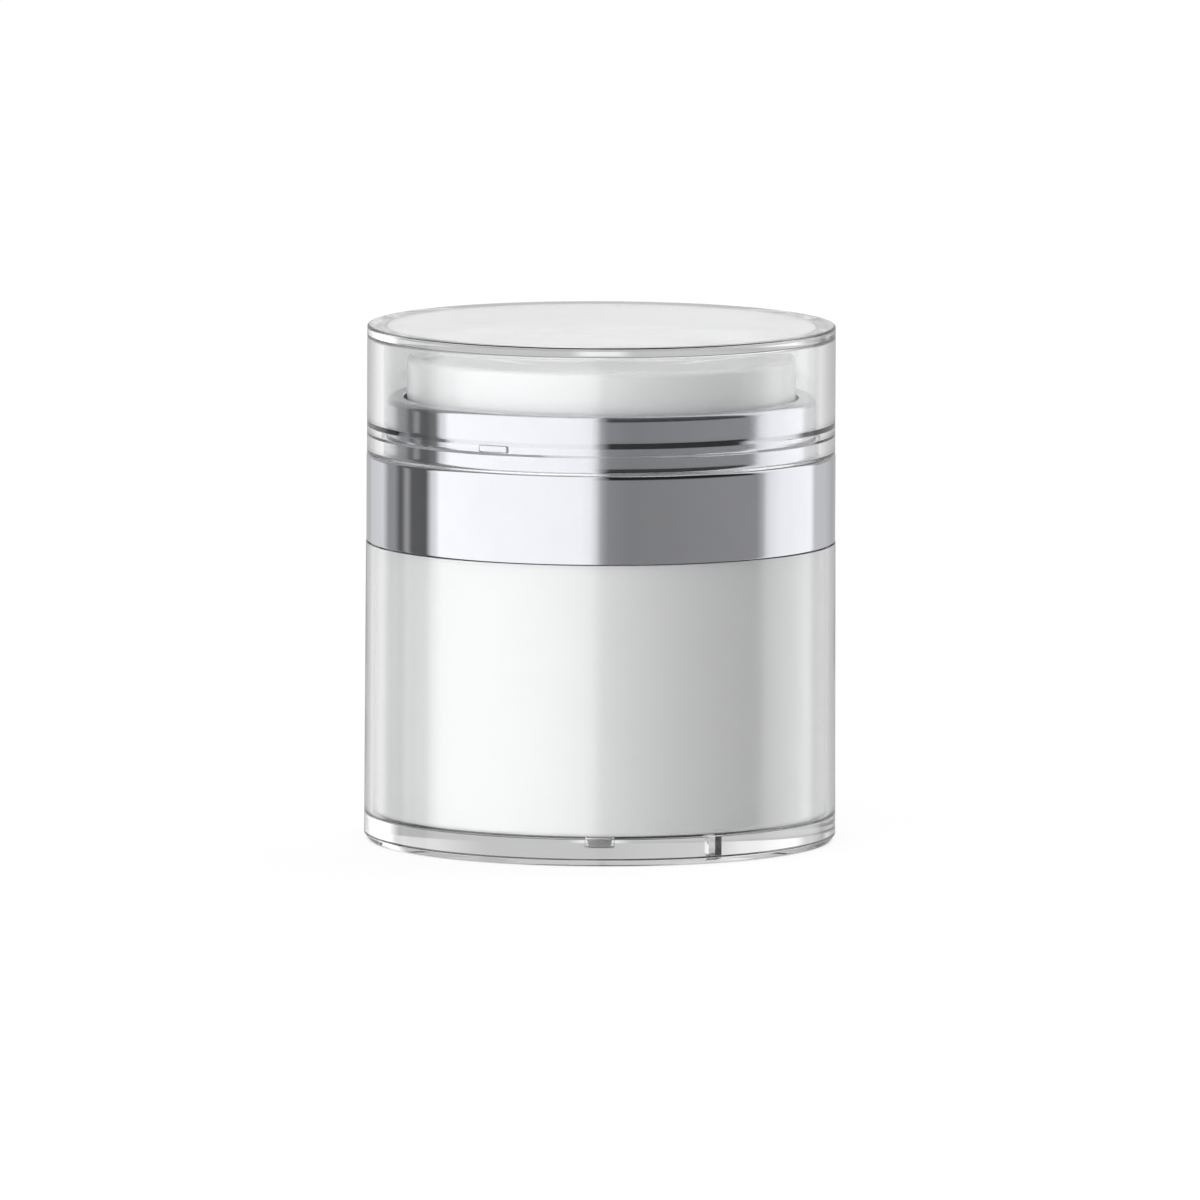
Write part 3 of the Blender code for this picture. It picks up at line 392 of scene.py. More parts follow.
def surfaced(tree, shader, finish, tone, grain, *grainRange):
    # The color follows the tone and the roughness follows the grain.
    tree.links.new(mixed(tree, tone, finish["dark"], finish["light"]), shader.inputs["Base Color"])
    tree.links.new(ranged(tree, grain, *finish["roughness"], *grainRange), shader.inputs["Roughness"])


def bumped(tree, shader, height, finish):
    depth, strength = finish["bump"]
    values = {"Distance": depth * mm, "Strength": strength}
    bump = node(tree, "Bump", values=values, links={"Height": height})
    tree.links.new(bump.outputs["Normal"], shader.inputs["Normal"])


# In each finish, bump is (depth in mm, strength), and sizes are in mm.

acrylicFinish = dict(
    color=(0.985, 0.988, 0.99),
    ior=1.49,
    roughness=(0.0, 0.035),
    hazeSize=9.0,
    hazeRange=(0.5, 0.8),  # part of the noise over which the haze sets in
    rippleSize=14.0,
    bump=(0.02, 0.5),
)


def makeAcrylic():
    # Polished clear moulding: faint flow ripple and a little haze where it has been handled.
    finish = acrylicFinish
    values = {"Base Color": (*finish["color"], 1), "Transmission Weight": 1.0, "IOR": finish["ior"]}
    material, tree, shader = newMaterial("clearAcrylic", values)
    point = objectPoint(tree)
    haze = noise(tree, point, finish["hazeSize"], cloudy, deepTones)
    hazed = ranged(tree, haze, *finish["roughness"], *finish["hazeRange"])
    tree.links.new(hazed, shader.inputs["Roughness"])
    bumped(tree, shader, noise(tree, point, finish["rippleSize"], smooth), finish)
    return material


pearlFinish = dict(
    light=(0.965, 0.965, 0.965),
    dark=(0.92, 0.92, 0.92),
    flakeSize=0.15,
    roughness=(0.3, 0.36),
    sheen=0.75,
    lacquerRoughness=0.05,
    cloudSize=7.0,
    drift=0.5,
    bumpSize=0.12,
    bump=(0.002, 0.4),
)


def makePearl():
    # Pearl pigment in plastic: fine flakes that each reflect a little more or less, in soft clouds.
    finish = pearlFinish
    lacquer = {"Coat Weight": 1.0, "Coat Roughness": finish["lacquerRoughness"]}
    material, tree, shader = newMaterial("pearlWhite", {"Specular IOR Level": finish["sheen"], **lacquer})
    point = objectPoint(tree)
    values = {"Scale": 1 / (finish["flakeSize"] * mm)}
    cells = node(tree, "TexVoronoi", values=values, links={"Vector": point})
    flake = node(tree, "SeparateColor", links={"Color": cells.outputs["Color"]}).outputs["Red"]
    cloud = calculated(tree, "SUBTRACT", noise(tree, point, finish["cloudSize"], cloudy), evenNoise)
    shade = calculated(tree, "ADD", flake, calculated(tree, "MULTIPLY", cloud, finish["drift"]))
    surfaced(tree, shader, finish, shade, shade, 0.0, 1.0)
    bumped(tree, shader, noise(tree, point, finish["bumpSize"]), finish)
    return material


# painted shade for the key tab: dark grey tones that stand for the shade it sits in
keyShadeFinish = dict(light=(0.30, 0.30, 0.305), dark=(0.24, 0.24, 0.245), cloudSize=1.2, roughness=(0.4, 0.5))


def makeKeyShadePaint():
    # Painted shade: the key tab, pearl white like its liner, is coloured dark grey for the shade it sits in,
    # a little cloudy.
    material, tree, shader = newMaterial("keyShadePaint")
    cloud = noise(tree, objectPoint(tree), keyShadeFinish["cloudSize"], cloudy)
    surfaced(tree, shader, keyShadeFinish, cloud, cloud)
    return material


platedFinish = dict(
    light=(0.594, 0.598, 0.628),
    dark=(0.554, 0.558, 0.588),
    roughness=(0.025, 0.06),
    mottleSize=5.0,
    rippleSize=3.5,
    bump=(0.002, 0.3),
)


def makePlated():
    # Plated plastic: a mirror with the slightest orange peel and uneven polish.
    material, tree, shader = newMaterial("platedSilver", {"Metallic": 1.0})
    point = objectPoint(tree)
    mottle = noise(tree, point, platedFinish["mottleSize"], mottled, deepTones)
    surfaced(tree, shader, platedFinish, mottle, mottle)
    bumped(tree, shader, noise(tree, point, platedFinish["rippleSize"], smooth), platedFinish)
    return material


whiteResinFinish = dict(
    light=(0.88, 0.88, 0.872),
    dark=(0.83, 0.83, 0.822),
    sheen=0.45,
    flowSize=6.0,
    flowStretch=(1, 1, 0.3),
    grainSize=0.09,
    bump=(0.012, 0.35),
    roughness=(0.34, 0.46),
)


def makeWhiteResin():
    # Filled white moulding: fine spark-eroded grain, with flow marks drawn out along the axis.
    finish = whiteResinFinish
    material, tree, shader = newMaterial("whiteResin", {"Specular IOR Level": finish["sheen"]})
    point = objectPoint(tree)
    drawn = node(tree, "Mapping", values={"Scale": finish["flowStretch"]}, links={"Vector": point})
    flow = noise(tree, drawn.outputs["Vector"], finish["flowSize"], cloudy)
    grain = noise(tree, point, finish["grainSize"])
    surfaced(tree, shader, finish, flow, grain)
    bumped(tree, shader, grain, finish)
    return material


naturalResinFinish = dict(
    light=(0.84, 0.85, 0.83),
    dark=(0.76, 0.77, 0.75),
    cloudSize=3.5,
    roughness=(0.26, 0.4),
    scatter=0.35,
    scatterDepth=1.2,
    scatterColor=(1.0, 1.0, 0.9),
    grainSize=0.2,
    bump=(0.006, 0.3),
)


def makeNaturalResin():
    # Unfilled, milky moulding: light goes in about a millimetre, and the color is a little cloudy.
    finish = naturalResinFinish
    depths = {"Subsurface Radius": finish["scatterColor"], "Subsurface Scale": finish["scatterDepth"] * mm}
    material, tree, shader = newMaterial("naturalResin", {"Subsurface Weight": finish["scatter"], **depths})
    point = objectPoint(tree)
    grain = noise(tree, point, finish["grainSize"])
    surfaced(tree, shader, finish, noise(tree, point, finish["cloudSize"], cloudy), grain)
    bumped(tree, shader, grain, finish)
    return material


sealFinish = dict(
    light=(0.76, 0.77, 0.78),
    dark=(0.68, 0.69, 0.70),
    sheen=0.4,
    speckSize=0.3,
    roughness=(0.5, 0.68),
    bloomSize=4.0,
    bloomTones=0.65,
    bump=(0.01, 0.3),
)


def makeSoftSeal():
    # Pale soft rubber with a dusty bloom.
    material, tree, shader = newMaterial("softSeal", {"Specular IOR Level": sealFinish["sheen"]})
    point = objectPoint(tree)
    bloom = noise(tree, point, sealFinish["bloomSize"], mottled, sealFinish["bloomTones"])
    speck = noise(tree, point, sealFinish["speckSize"])
    surfaced(tree, shader, sealFinish, bloom, speck)
    bumped(tree, shader, speck, sealFinish)
    return material


springFinish = dict(
    light=(0.66, 0.66, 0.67),
    dark=(0.52, 0.52, 0.53),
    roughness=(0.16, 0.34),
    drawLength=6.0,
    drawWidthShare=0.03,
    bump=(0.004, 0.5),
)


def makeSpringSteel():
    # Drawn wire: fine lines along the wire, from its own map (travelled length, share of the turn).
    finish = springFinish
    material, tree, shader = newMaterial("springSteel", {"Metallic": 1.0})
    wireMap = node(tree, "UVMap", {"uv_map": "wire"}).outputs["UV"]
    stretch = {"Scale": (1 / (finish["drawLength"] * mm), 1 / finish["drawWidthShare"], 1)}
    drawn = node(tree, "Mapping", values=stretch, links={"Vector": wireMap})
    lines = noise(tree, drawn.outputs["Vector"], 1 / mm, cloudy)  # scale 1: the map is stretched already
    surfaced(tree, shader, finish, lines, lines)
    bumped(tree, shader, lines, finish)
    return material


madeOf = {
    "clear_acrylic": makeAcrylic(),
    "pearl_white": makePearl(),
    "plated_silver": makePlated(),
    "white_resin": makeWhiteResin(),
    "natural_resin": makeNaturalResin(),
    "soft_seal": makeSoftSeal(),
    "spring_steel": makeSpringSteel(),
}
keyShadePaint = makeKeyShadePaint()
print("materials made:", len(bpy.data.materials))


# The jar: clear shell, pearl liner, product cup and follower

shellSteps = 256  # steps round the axis
brightSteps = 320
innerSteps = 192
pumpSteps = 128
valveSteps = 96

clearShell = dict(
    baseRadius=31.2,
    rimRadius=31.05,
    boreRadius=30.1,
    floor=3.4,
    footRadius=27.6,
    footRecess=0.7,
    facetWidth=0.6,
    facetHeight=0.8,
    facetRound=0.15,
    footRound=0.4,
    boreRound=0.4,
    pocketWidth=3.8,
    pocketThickness=1.7,
    pocketDepth=1.1,
    pocketRadius=28.3,
    pocketAzimuth=0.0,
    pocketCorner=0.2,
    slotWidth=1.9,
    slotThickness=1.7,
    slotDepth=2.5,
    slotRadius=29.05,
    slotAzimuth=30.0,
    slotCorner=0.15,
    overrun=2.0,
)


def makeClearShell():
    shell = clearShell
    bottom, top = heights("outer_jar")
    floorTop = bottom + shell["floor"]
    recess = bottom + shell["footRecess"]
    outline = [
        ("rimRadius", top),
        ("baseRadius", bottom + shell["facetHeight"], "facetRound"),
        (shell["baseRadius"] - shell["facetWidth"], bottom, "facetRound"),
        ("footRadius", bottom, "footRound"),
        ("footRadius", recess, soft),
        (0, recess),
        (0, floorTop),
        ("boreRadius", floorTop, "boreRound"),
        ("boreRadius", top),
    ]
    piece = turnedSurface("clearShell", shell, outline, shellSteps)
    cuts = []
    for name in ("pocket", "slot"):
        height = shell[name + "Depth"] + shell["overrun"]
        middle = floorTop + shell["overrun"] - height / 2
        size = (shell[name + "Width"], height, shell[name + "Thickness"])
        place = (shell[name + "Radius"], middle, shell[name + "Azimuth"])
        cuts.append(blockSurface(name, *size, *place, corner=shell[name + "Corner"]))
    joined(piece, cuts, "DIFFERENCE")
    placed(piece, "jar", "outer_jar", "clear_acrylic")


pearlLiner = dict(
    radius=29.9,
    boreRadius=28.2,
    rimBoreRadius=28.9,
    floor=0.6,
    rimDepth=1.45,
    baseRound=0.8,
    boreRound=0.4,
    ventRadius=1.0,
    tabWidth=3.7,
    tabTaper=0.73,
    tabThickness=1.6,
    tabDepth=1.3,
    tabRadius=28.3,
    tabCorner=0.12,
)


def makePearlLiner():
    liner = pearlLiner
    low, top = heights("pearl_liner")
    bottom = low + liner["tabDepth"]
    floorTop = bottom + liner["floor"]
    rimFoot = top - liner["rimDepth"]
    outline = [
        ("radius", top),
        ("radius", bottom, "baseRound"),
        ("ventRadius", bottom),
        ("ventRadius", floorTop),
        ("boreRadius", floorTop, "boreRound"),
        ("boreRadius", rimFoot),
        ("rimBoreRadius", rimFoot),
        ("rimBoreRadius", top),
    ]
    piece = turnedSurface("pearlLiner", liner, outline, shellSteps)
    tabHeight = liner["tabDepth"] + sink
    size = (liner["tabWidth"], tabHeight, liner["tabThickness"])
    shape = {"corner": liner["tabCorner"], "taper": liner["tabTaper"]}
    tab = blockSurface("keyTab", *size, liner["tabRadius"], low + tabHeight / 2, **shape)
    # the tab gets the painted shade, dark grey, in place of the liner's pearl white
    placed(tab, "jar", "pearl_liner", "pearl_white", keyShadePaint)
    placed(piece, "jar", "pearl_liner", "pearl_white")


screwThread = dict(
    pitch=3.0,
    height=0.6,
    rootWidth=1.4,
    crestWidth=0.7,
    rise=3.75,
    leadTurns=0.14,  # over which the ridge grows to its full height
    leastShare=0.02,
    fadePower=0.7,
    endWidthShare=0.35,
    stepsPerTurn=160,
)

productCup = dict(
    radius=26.6,
    boreRadius=25.4,
    rimRound=0.25,
    flangeRadius=28.6,
    flangeTop=39.5,
    flangeThickness=1.0,
    floor=1.2,
    baseRound=1.2,
    ventRadius=1.2,
    threadBelowTop=5.45,  # from the neck's top to the middle of the thread's lower end
)


def makeProductCup():
    cup = productCup
    bottom, top = heights("inner_jar")
    flangeBottom = cup["flangeTop"] - cup["flangeThickness"]
    floorTop = bottom + cup["floor"]
    outline = [
        ("radius", top, "rimRound"),
        ("radius", "flangeTop", eased),
        ("flangeRadius", "flangeTop", eased),
        ("flangeRadius", flangeBottom, eased),
        ("radius", flangeBottom, eased),
        ("radius", bottom, "baseRound"),
        ("ventRadius", bottom),
        ("ventRadius", floorTop),
        ("boreRadius", floorTop, broad),
        ("boreRadius", top, "rimRound"),
    ]
    piece = turnedSurface("productCup", cup, outline, innerSteps)
    joined(piece, [threadSurface("neckThread", cup["radius"], 1, top - cup["threadBelowTop"], screwThread)])
    placed(piece, "jar", "inner_jar", "white_resin")


followerDisc = dict(
    lipRadius=25.3,
    wallRadius=24.6,
    innerRadius=23.4,
    wellRadius=8.6,
    wellOuterRadius=9.8,
    wellFloorBottom=0.3,
    wellFloorTop=1.6,
    crownBottom=9.8,
    crownTop=11.0,
    lipHeight=1.4,
    lipFoot=0.35,
    round=0.8,
    ribs=8,
    ribThickness=1.0,
    ribBottom=4.25,
)


def makeFollower():
    disc = followerDisc
    bottom, top = heights("follower_piston")
    crown = bottom + disc["crownTop"]
    ceiling = bottom + disc["crownBottom"]
    lipTop = bottom + disc["lipHeight"]
    outline = [
        (0, bottom + disc["wellFloorTop"]),
        ("wellRadius", bottom + disc["wellFloorTop"], "round"),
        ("wellRadius", crown, "round"),
        (disc["wallRadius"] - disc["lipFoot"], crown, crisp),
        ("lipRadius", top, tip),
        ("wallRadius", crown - disc["lipHeight"], broad),
        ("wallRadius", lipTop, broad),
        ("lipRadius", bottom, tip),
        ("innerRadius", lipTop, soft),
        ("innerRadius", ceiling, broad),
        ("wellOuterRadius", ceiling, broad),
        ("wellOuterRadius", bottom + disc["wellFloorBottom"], broad),
        (0, bottom + disc["wellFloorBottom"]),
    ]
    piece = turnedSurface("followerDisc", disc, outline, innerSteps)
    ribTop = ceiling + sink
    size = (disc["ribThickness"], ribTop - bottom - disc["ribBottom"])
    reach = (disc["wellOuterRadius"] - sink, disc["innerRadius"] + sink)
    joined(piece, [spokes("followerRib", disc["ribs"], *size, *reach, ribTop, corner=eased)])
    placed(piece, "follower", "follower_piston", "natural_resin")


# The closure: gasket, screw ring, plated shoulder and pump deck

deckGasket = dict(radius=26.7, boreRadius=25.4, round=0.15)
pumpSeal = dict(radius=9.3, boreRadius=7.5, round=0.2)


def makeFlatRing(name, size, steps, body, node):
    bottom, top = heights(node)
    outline = [
        ("radius", top, "round"),
        ("radius", bottom, "round"),
        ("boreRadius", bottom, "round"),
        ("boreRadius", top, "round"),
    ]
    turnedPiece(name, size, outline, steps, body, node, "soft_seal")


screwRing = dict(radius=29.1, boreRadius=27.5, landRadius=26.1, webThickness=1.2, threadAboveFoot=1.65)


def makeScrewRing():
    ring = screwRing
    bottom, top = heights("screw_ring")
    web = top - ring["webThickness"]
    outline = [
        ("radius", top, soft),
        ("radius", bottom, soft),
        ("boreRadius", bottom, soft),
        ("boreRadius", web, soft),
        ("landRadius", web, crisp),
        ("landRadius", top, crisp),
    ]
    piece = turnedSurface("threadedRing", ring, outline, innerSteps)
    threadZ = bottom + ring["threadAboveFoot"]
    joined(piece, [threadSurface("ringThread", ring["boreRadius"], -1, threadZ, screwThread)])
    placed(piece, "unit", "screw_ring", "white_resin")


platedShoulder = dict(
    bandRadius=31.0,
    bandBoreRadius=29.4,
    bandHeight=11.75,
    ledgeThickness=1.4,
    bandRound=0.5,
    bandFootRound=0.12,
    cornerRound=0.6,
    collarRadius=28.45,
    collarBoreRadius=27.05,
    landRadius=26.1,
    landThickness=1.3,
    collarRound=0.7,
    nubs=3,
    nubFirstAzimuth=-29.0,
    nubWidth=4.3,
    nubHeight=1.3,
    nubRise=2.95,
    nubRadius=28.72,
    nubCorner=0.4,
    nubEdge=0.34,
)


def makePlatedShoulder():
    shoulder = platedShoulder
    bottom, top = heights("shoulder_shell")
    ledge = bottom + shoulder["bandHeight"]
    ledgeUnderside = ledge - shoulder["ledgeThickness"]
    landUnderside = top - shoulder["landThickness"]
    outline = [
        ("collarRadius", top, "collarRound"),
        ("collarRadius", ledge, "cornerRound"),
        ("bandRadius", ledge, "bandRound"),
        ("bandRadius", bottom, "bandFootRound"),
        ("bandBoreRadius", bottom, "bandFootRound"),
        ("bandBoreRadius", ledgeUnderside),
        ("collarBoreRadius", ledgeUnderside),
        ("collarBoreRadius", landUnderside),
        ("landRadius", landUnderside),
        ("landRadius", top, broad),
    ]
    piece = turnedSurface("platedShoulder", shoulder, outline, brightSteps)
    size = (shoulder["nubWidth"], shoulder["nubHeight"])
    reach = (shoulder["collarRadius"] - sink, shoulder["nubRadius"])
    nubTop = ledge + shoulder["nubRise"] + shoulder["nubHeight"] / 2
    shape = {"corner": shoulder["nubCorner"], "edge": shoulder["nubEdge"]}
    first = shoulder["nubFirstAzimuth"]
    joined(piece, [spokes("snapNub", shoulder["nubs"], *size, *reach, nubTop, first, **shape)])
    placed(piece, "unit", "shoulder_shell", "plated_silver")


pumpDeck = dict(
    radius=27.2,
    plugRadius=25.1,
    plugBoreRadius=24.1,
    plugDepth=2.5,
    thickness=1.2,
    holeRadius=7.5,
    ringInner=11.45,
    ringOuter=12.25,
    ribs=12,
    ribStart=8.7,
    ribThickness=0.9,
    ribDepth=1.2,
)


def makePumpDeck():
    deck = pumpDeck
    bottom, top = heights("pump_deck")
    underside = bottom + deck["plugDepth"]
    face = underside + deck["thickness"]
    outline = [
        ("radius", face, eased),
        ("radius", underside, eased),
        ("plugRadius", underside, eased),
        ("plugRadius", bottom, broad),
        ("plugBoreRadius", bottom, broad),
        ("plugBoreRadius", underside, broad),
        ("holeRadius", underside, crisp),
        ("holeRadius", face, soft),
        ("ringInner", face, eased),
        ("ringInner", top, soft),
        ("ringOuter", top, soft),
        ("ringOuter", face, eased),
    ]
    piece = turnedSurface("pumpDeck", deck, outline, innerSteps)
    size = (deck["ribThickness"], deck["ribDepth"] + sink)
    reach = (deck["ribStart"], deck["plugBoreRadius"] + sink)
    joined(piece, [spokes("deckRib", deck["ribs"], *size, *reach, underside + sink, corner=eased)])
    placed(piece, "unit", "pump_deck", "white_resin")


# The pump: cylinder, bush, spring, stem, piston and valves

pumpCylinder = dict(
    radius=7.2,
    boreRadius=5.95,
    flangeRadius=9.3,
    flangeBottom=10.3,
    flangeThickness=1.0,
    floor=1.0,
    footRound=1.25,
    inletRadius=1.5,
)


def makePumpCylinder():
    cylinder = pumpCylinder
    bottom, top = heights("pump_cylinder")
    flangeBottom = bottom + cylinder["flangeBottom"]
    flangeTop = flangeBottom + cylinder["flangeThickness"]
    floorTop = bottom + cylinder["floor"]
    outline = [
        ("radius", top, soft),
        ("radius", flangeTop, soft),
        ("flangeRadius", flangeTop, soft),
        ("flangeRadius", flangeBottom, soft),
        ("radius", flangeBottom, crisp),
        ("radius", bottom, "footRound"),
        ("inletRadius", bottom, soft),
        ("inletRadius", floorTop, soft),
        ("boreRadius", floorTop, broad),
        ("boreRadius", top, soft),
    ]
    turnedPiece("pumpCylinder", cylinder, outline, pumpSteps, "unit", "pump_cylinder", "natural_resin")


guideBush = dict(capRadius=7.2, capThickness=1.0, capRound=0.5, plugRadius=5.65, boreRadius=3.3)


def makeGuideBush():
    bottom, top = heights("guide_bush")
    capBottom = top - guideBush["capThickness"]
    outline = [
        ("capRadius", top, "capRound"),
        ("capRadius", capBottom, eased),
        ("plugRadius", capBottom, crisp),
        ("plugRadius", bottom, broad),
        ("boreRadius", bottom, soft),
        ("boreRadius", top, broad),
    ]
    turnedPiece("guideBush", guideBush, outline, pumpSteps, "unit", "guide_bush", "white_resin")


returnSpring = dict(
    wireRadius=0.45,
    meanRadius=10.7,
    turns=5.5,
    endPitch=1.5,
    endRoundShare=0.5,  # how far the ends' rounding reaches, as a share of the wire's radius
    endCutShare=0.96,  # the rounding stops just short of a point
    stepsPerTurn=96,
    sides=20,
    stroke=4.5,
)


def makeReturnSpring():
    # The centre line is (meanRadius * cos a, meanRadius * sin a, height), and its height is joined
    # up from a fine pitch in the first and last turn and an even, wider pitch between them.
    spring = returnSpring
    bottom, top = heights("return_spring")
    wire, radius, pitch = spring["wireRadius"], spring["meanRadius"], spring["endPitch"]
    turns = spring["turns"]
    length = top - bottom - 2 * wire
    turn = np.linspace(0, turns, round(turns * spring["stepsPerTurn"]) + 1)
    climb = np.interp(turn, [0, 1, turns - 1, turns], [0, pitch, length - pitch, length])
    a = math.tau * turn
    centre = np.stack([radius * np.cos(a), radius * np.sin(a), bottom + wire + climb], axis=-1)
    piece = tubeSurface("returnSpring", centre, spring)
    placed(piece, "unit", "return_spring", "spring_steel")
    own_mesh(piece)


pumpStem = dict(radius=3.0, boreRadius=1.6, footRadius=4.2, footThickness=0.8, topRound=0.25)


def makePumpStem():
    bottom, top = heights("pump_stem")
    footTop = bottom + pumpStem["footThickness"]
    outline = [
        ("radius", top, "topRound"),
        ("radius", footTop, eased),
        ("footRadius", footTop, eased),
        ("footRadius", bottom, eased),
        ("boreRadius", bottom, eased),
        ("boreRadius", top, eased),
    ]
    turnedPiece("pumpStem", pumpStem, outline, pumpSteps, "press", "pump_stem", "natural_resin")


stemPiston = dict(lipRadius=5.85, waistRadius=5.05, boreRadius=3.15, lipHeight=1.0)


def makeStemPiston():
    piston = stemPiston
    bottom, top = heights("stem_piston")
    outline = [
        ("lipRadius", top),
        ("waistRadius", top - piston["lipHeight"], broad),
        ("waistRadius", bottom + piston["lipHeight"], broad),
        ("lipRadius", bottom),
        ("boreRadius", bottom, eased),
        ("boreRadius", top, eased),
    ]
    turnedPiece("stemPiston", piston, outline, pumpSteps, "press", "stem_piston", "soft_seal")


valves = dict(headRadius=2.4, headThickness=0.6, stemRadius=1.0, barbRadius=1.8, barbThickness=0.7)


def makeValve(name, node, barbed):
    bottom, top = heights(node)
    barbTop = bottom + valves["barbThickness"]
    headBottom = top - valves["headThickness"]
    foot = [(valves["stemRadius"], bottom, eased)]
    if barbed:
        foot = [
            ("stemRadius", barbTop, tip),
            ("barbRadius", barbTop, crisp),
            ("stemRadius", bottom, crisp),
        ]
    outline = [
        (0, top),
        ("headRadius", top, eased),
        ("headRadius", headBottom, eased),
        ("stemRadius", headBottom, eased),
        *foot,
        (0, bottom),
    ]
    turnedPiece(name, valves, outline, valveSteps, node, node, "soft_seal")


# The press: plate, core and nozzle

pressPlate = dict(
    radius=25.7,
    skirtInner=24.3,
    skirtRound=0.4,
    thickness=1.6,
    edgeRound=0.8,
    dishRadius=17.0,
    dishFlatRadius=13.0,
    dishDepth=0.5,
    dishRound=3.0,
    retainerOuter=14.2,
    retainerInner=13.2,
    retainerDepth=2.2,
    seatRadius=4.15,
    seatDepth=0.7,
    seatRound=0.12,
    holeRadius=3.05,
)


def makePressPlate():
    plate = pressPlate
    bottom, top = heights("press_plate")
    underside = top - plate["thickness"]
    retainerFoot = underside - plate["retainerDepth"]
    dish = top - plate["dishDepth"]
    seat = dish - plate["seatDepth"]
    outline = [
        ("radius", top, "edgeRound"),
        ("radius", bottom, eased),
        ("skirtInner", bottom, eased),
        ("skirtInner", underside, "skirtRound"),
        ("retainerOuter", underside, soft),
        ("retainerOuter", retainerFoot, eased),
        ("retainerInner", retainerFoot, eased),
        ("retainerInner", underside, crisp),
        ("holeRadius", underside, crisp),
        ("holeRadius", seat, crisp),
        ("seatRadius", seat, crisp),
        ("seatRadius", dish, "seatRound"),
        ("dishFlatRadius", dish, "dishRound"),
        ("dishRadius", top, "dishRound"),
    ]
    turnedPiece("pressPlate", plate, outline, shellSteps, "press", "press_plate", "pearl_white")


actuatorCore = dict(
    radius=12.9,
    thickness=1.0,
    ringOuter=12.35,
    ringInner=11.45,
    ringDepth=1.4,
    bossRadius=4.35,
    bossBore=3.15,
)


def makeActuatorCore():
    core = actuatorCore
    bottom, top = heights("actuator_core")
    disc = top - core["thickness"]
    ringFoot = disc - core["ringDepth"]
    outline = [
        ("radius", top, eased),
        ("radius", disc, eased),
        ("ringOuter", disc, crisp),
        ("ringOuter", ringFoot, soft),
        ("ringInner", ringFoot, soft),
        ("ringInner", disc, soft),
        ("bossRadius", disc, broad),
        ("bossRadius", bottom, soft),
        ("bossBore", bottom, soft),
        ("bossBore", top, eased),
    ]
    turnedPiece("actuatorCore", core, outline, pumpSteps, "press", "actuator_core", "white_resin")


outletNozzle = dict(flangeRadius=4.0, flangeThickness=0.5, radius=2.9, orificeRadius=0.9, orificeRound=0.35)


def makeOutletNozzle():
    bottom, top = heights("outlet_nozzle")
    flangeBottom = top - outletNozzle["flangeThickness"]
    outline = [
        ("flangeRadius", top, eased),
        ("flangeRadius", flangeBottom, crisp),
        ("radius", flangeBottom, crisp),
        ("radius", bottom, crisp),
        ("orificeRadius", bottom, crisp),
        ("orificeRadius", top, "orificeRound"),
    ]
    turnedPiece("outletNozzle", outletNozzle, outline, pumpSteps, "press", "outlet_nozzle", "white_resin")


# The overcap

clearCap = dict(
    radius=30.95,
    boreRadius=28.8,
    topThickness=1.4,
    edgeRound=0.3,
    rimDrop=0.08,  # the rim rests almost on the ledge
    rimRound=0.03,
    rimInnerRound=0.2,  # clears the hollow corner at the collar's foot
    grooveEdgeRound=0.03,
    innerRound=0.4,
    grooveRadius=29.1,
    grooveBottom=2.0,
    grooveFloor=2.4,
    grooveCeiling=3.25,
    grooveTop=3.9,
)


def makeClearCap():
    cap = clearCap
    bottom, top = heights("overcap")
    ceiling = top - cap["topThickness"]
    rim = bottom - cap["rimDrop"]
    outline = [
        (0, top),
        ("radius", top, "edgeRound"),
        ("radius", rim, "rimRound"),
        ("boreRadius", rim, "rimInnerRound"),
        ("boreRadius", bottom + cap["grooveBottom"], "grooveEdgeRound"),
        ("grooveRadius", bottom + cap["grooveFloor"], "grooveEdgeRound"),
        ("grooveRadius", bottom + cap["grooveCeiling"]),
        ("boreRadius", bottom + cap["grooveTop"]),
        ("boreRadius", ceiling, "innerRound"),
        (0, ceiling),
    ]
    turnedPiece("clearCap", cap, outline, brightSteps, "overcap", "overcap", "clear_acrylic")


makeClearShell()
makePearlLiner()
makeProductCup()
makeFollower()
makeFlatRing("neckGasket", deckGasket, innerSteps, "seal", "deck_gasket")
makeScrewRing()
makePlatedShoulder()
makePumpDeck()
makeFlatRing("pumpSeal", pumpSeal, pumpSteps, "unit", "cylinder_seal")
makePumpCylinder()
makeGuideBush()
makeReturnSpring()
makePumpStem()
makeStemPiston()
makeValve("inletMushroom", "inlet_valve", True)
makeValve("outletMushroom", "outlet_valve", False)
makePressPlate()
makeActuatorCore()
makeOutletNozzle()
makeClearCap()
print("pieces made")
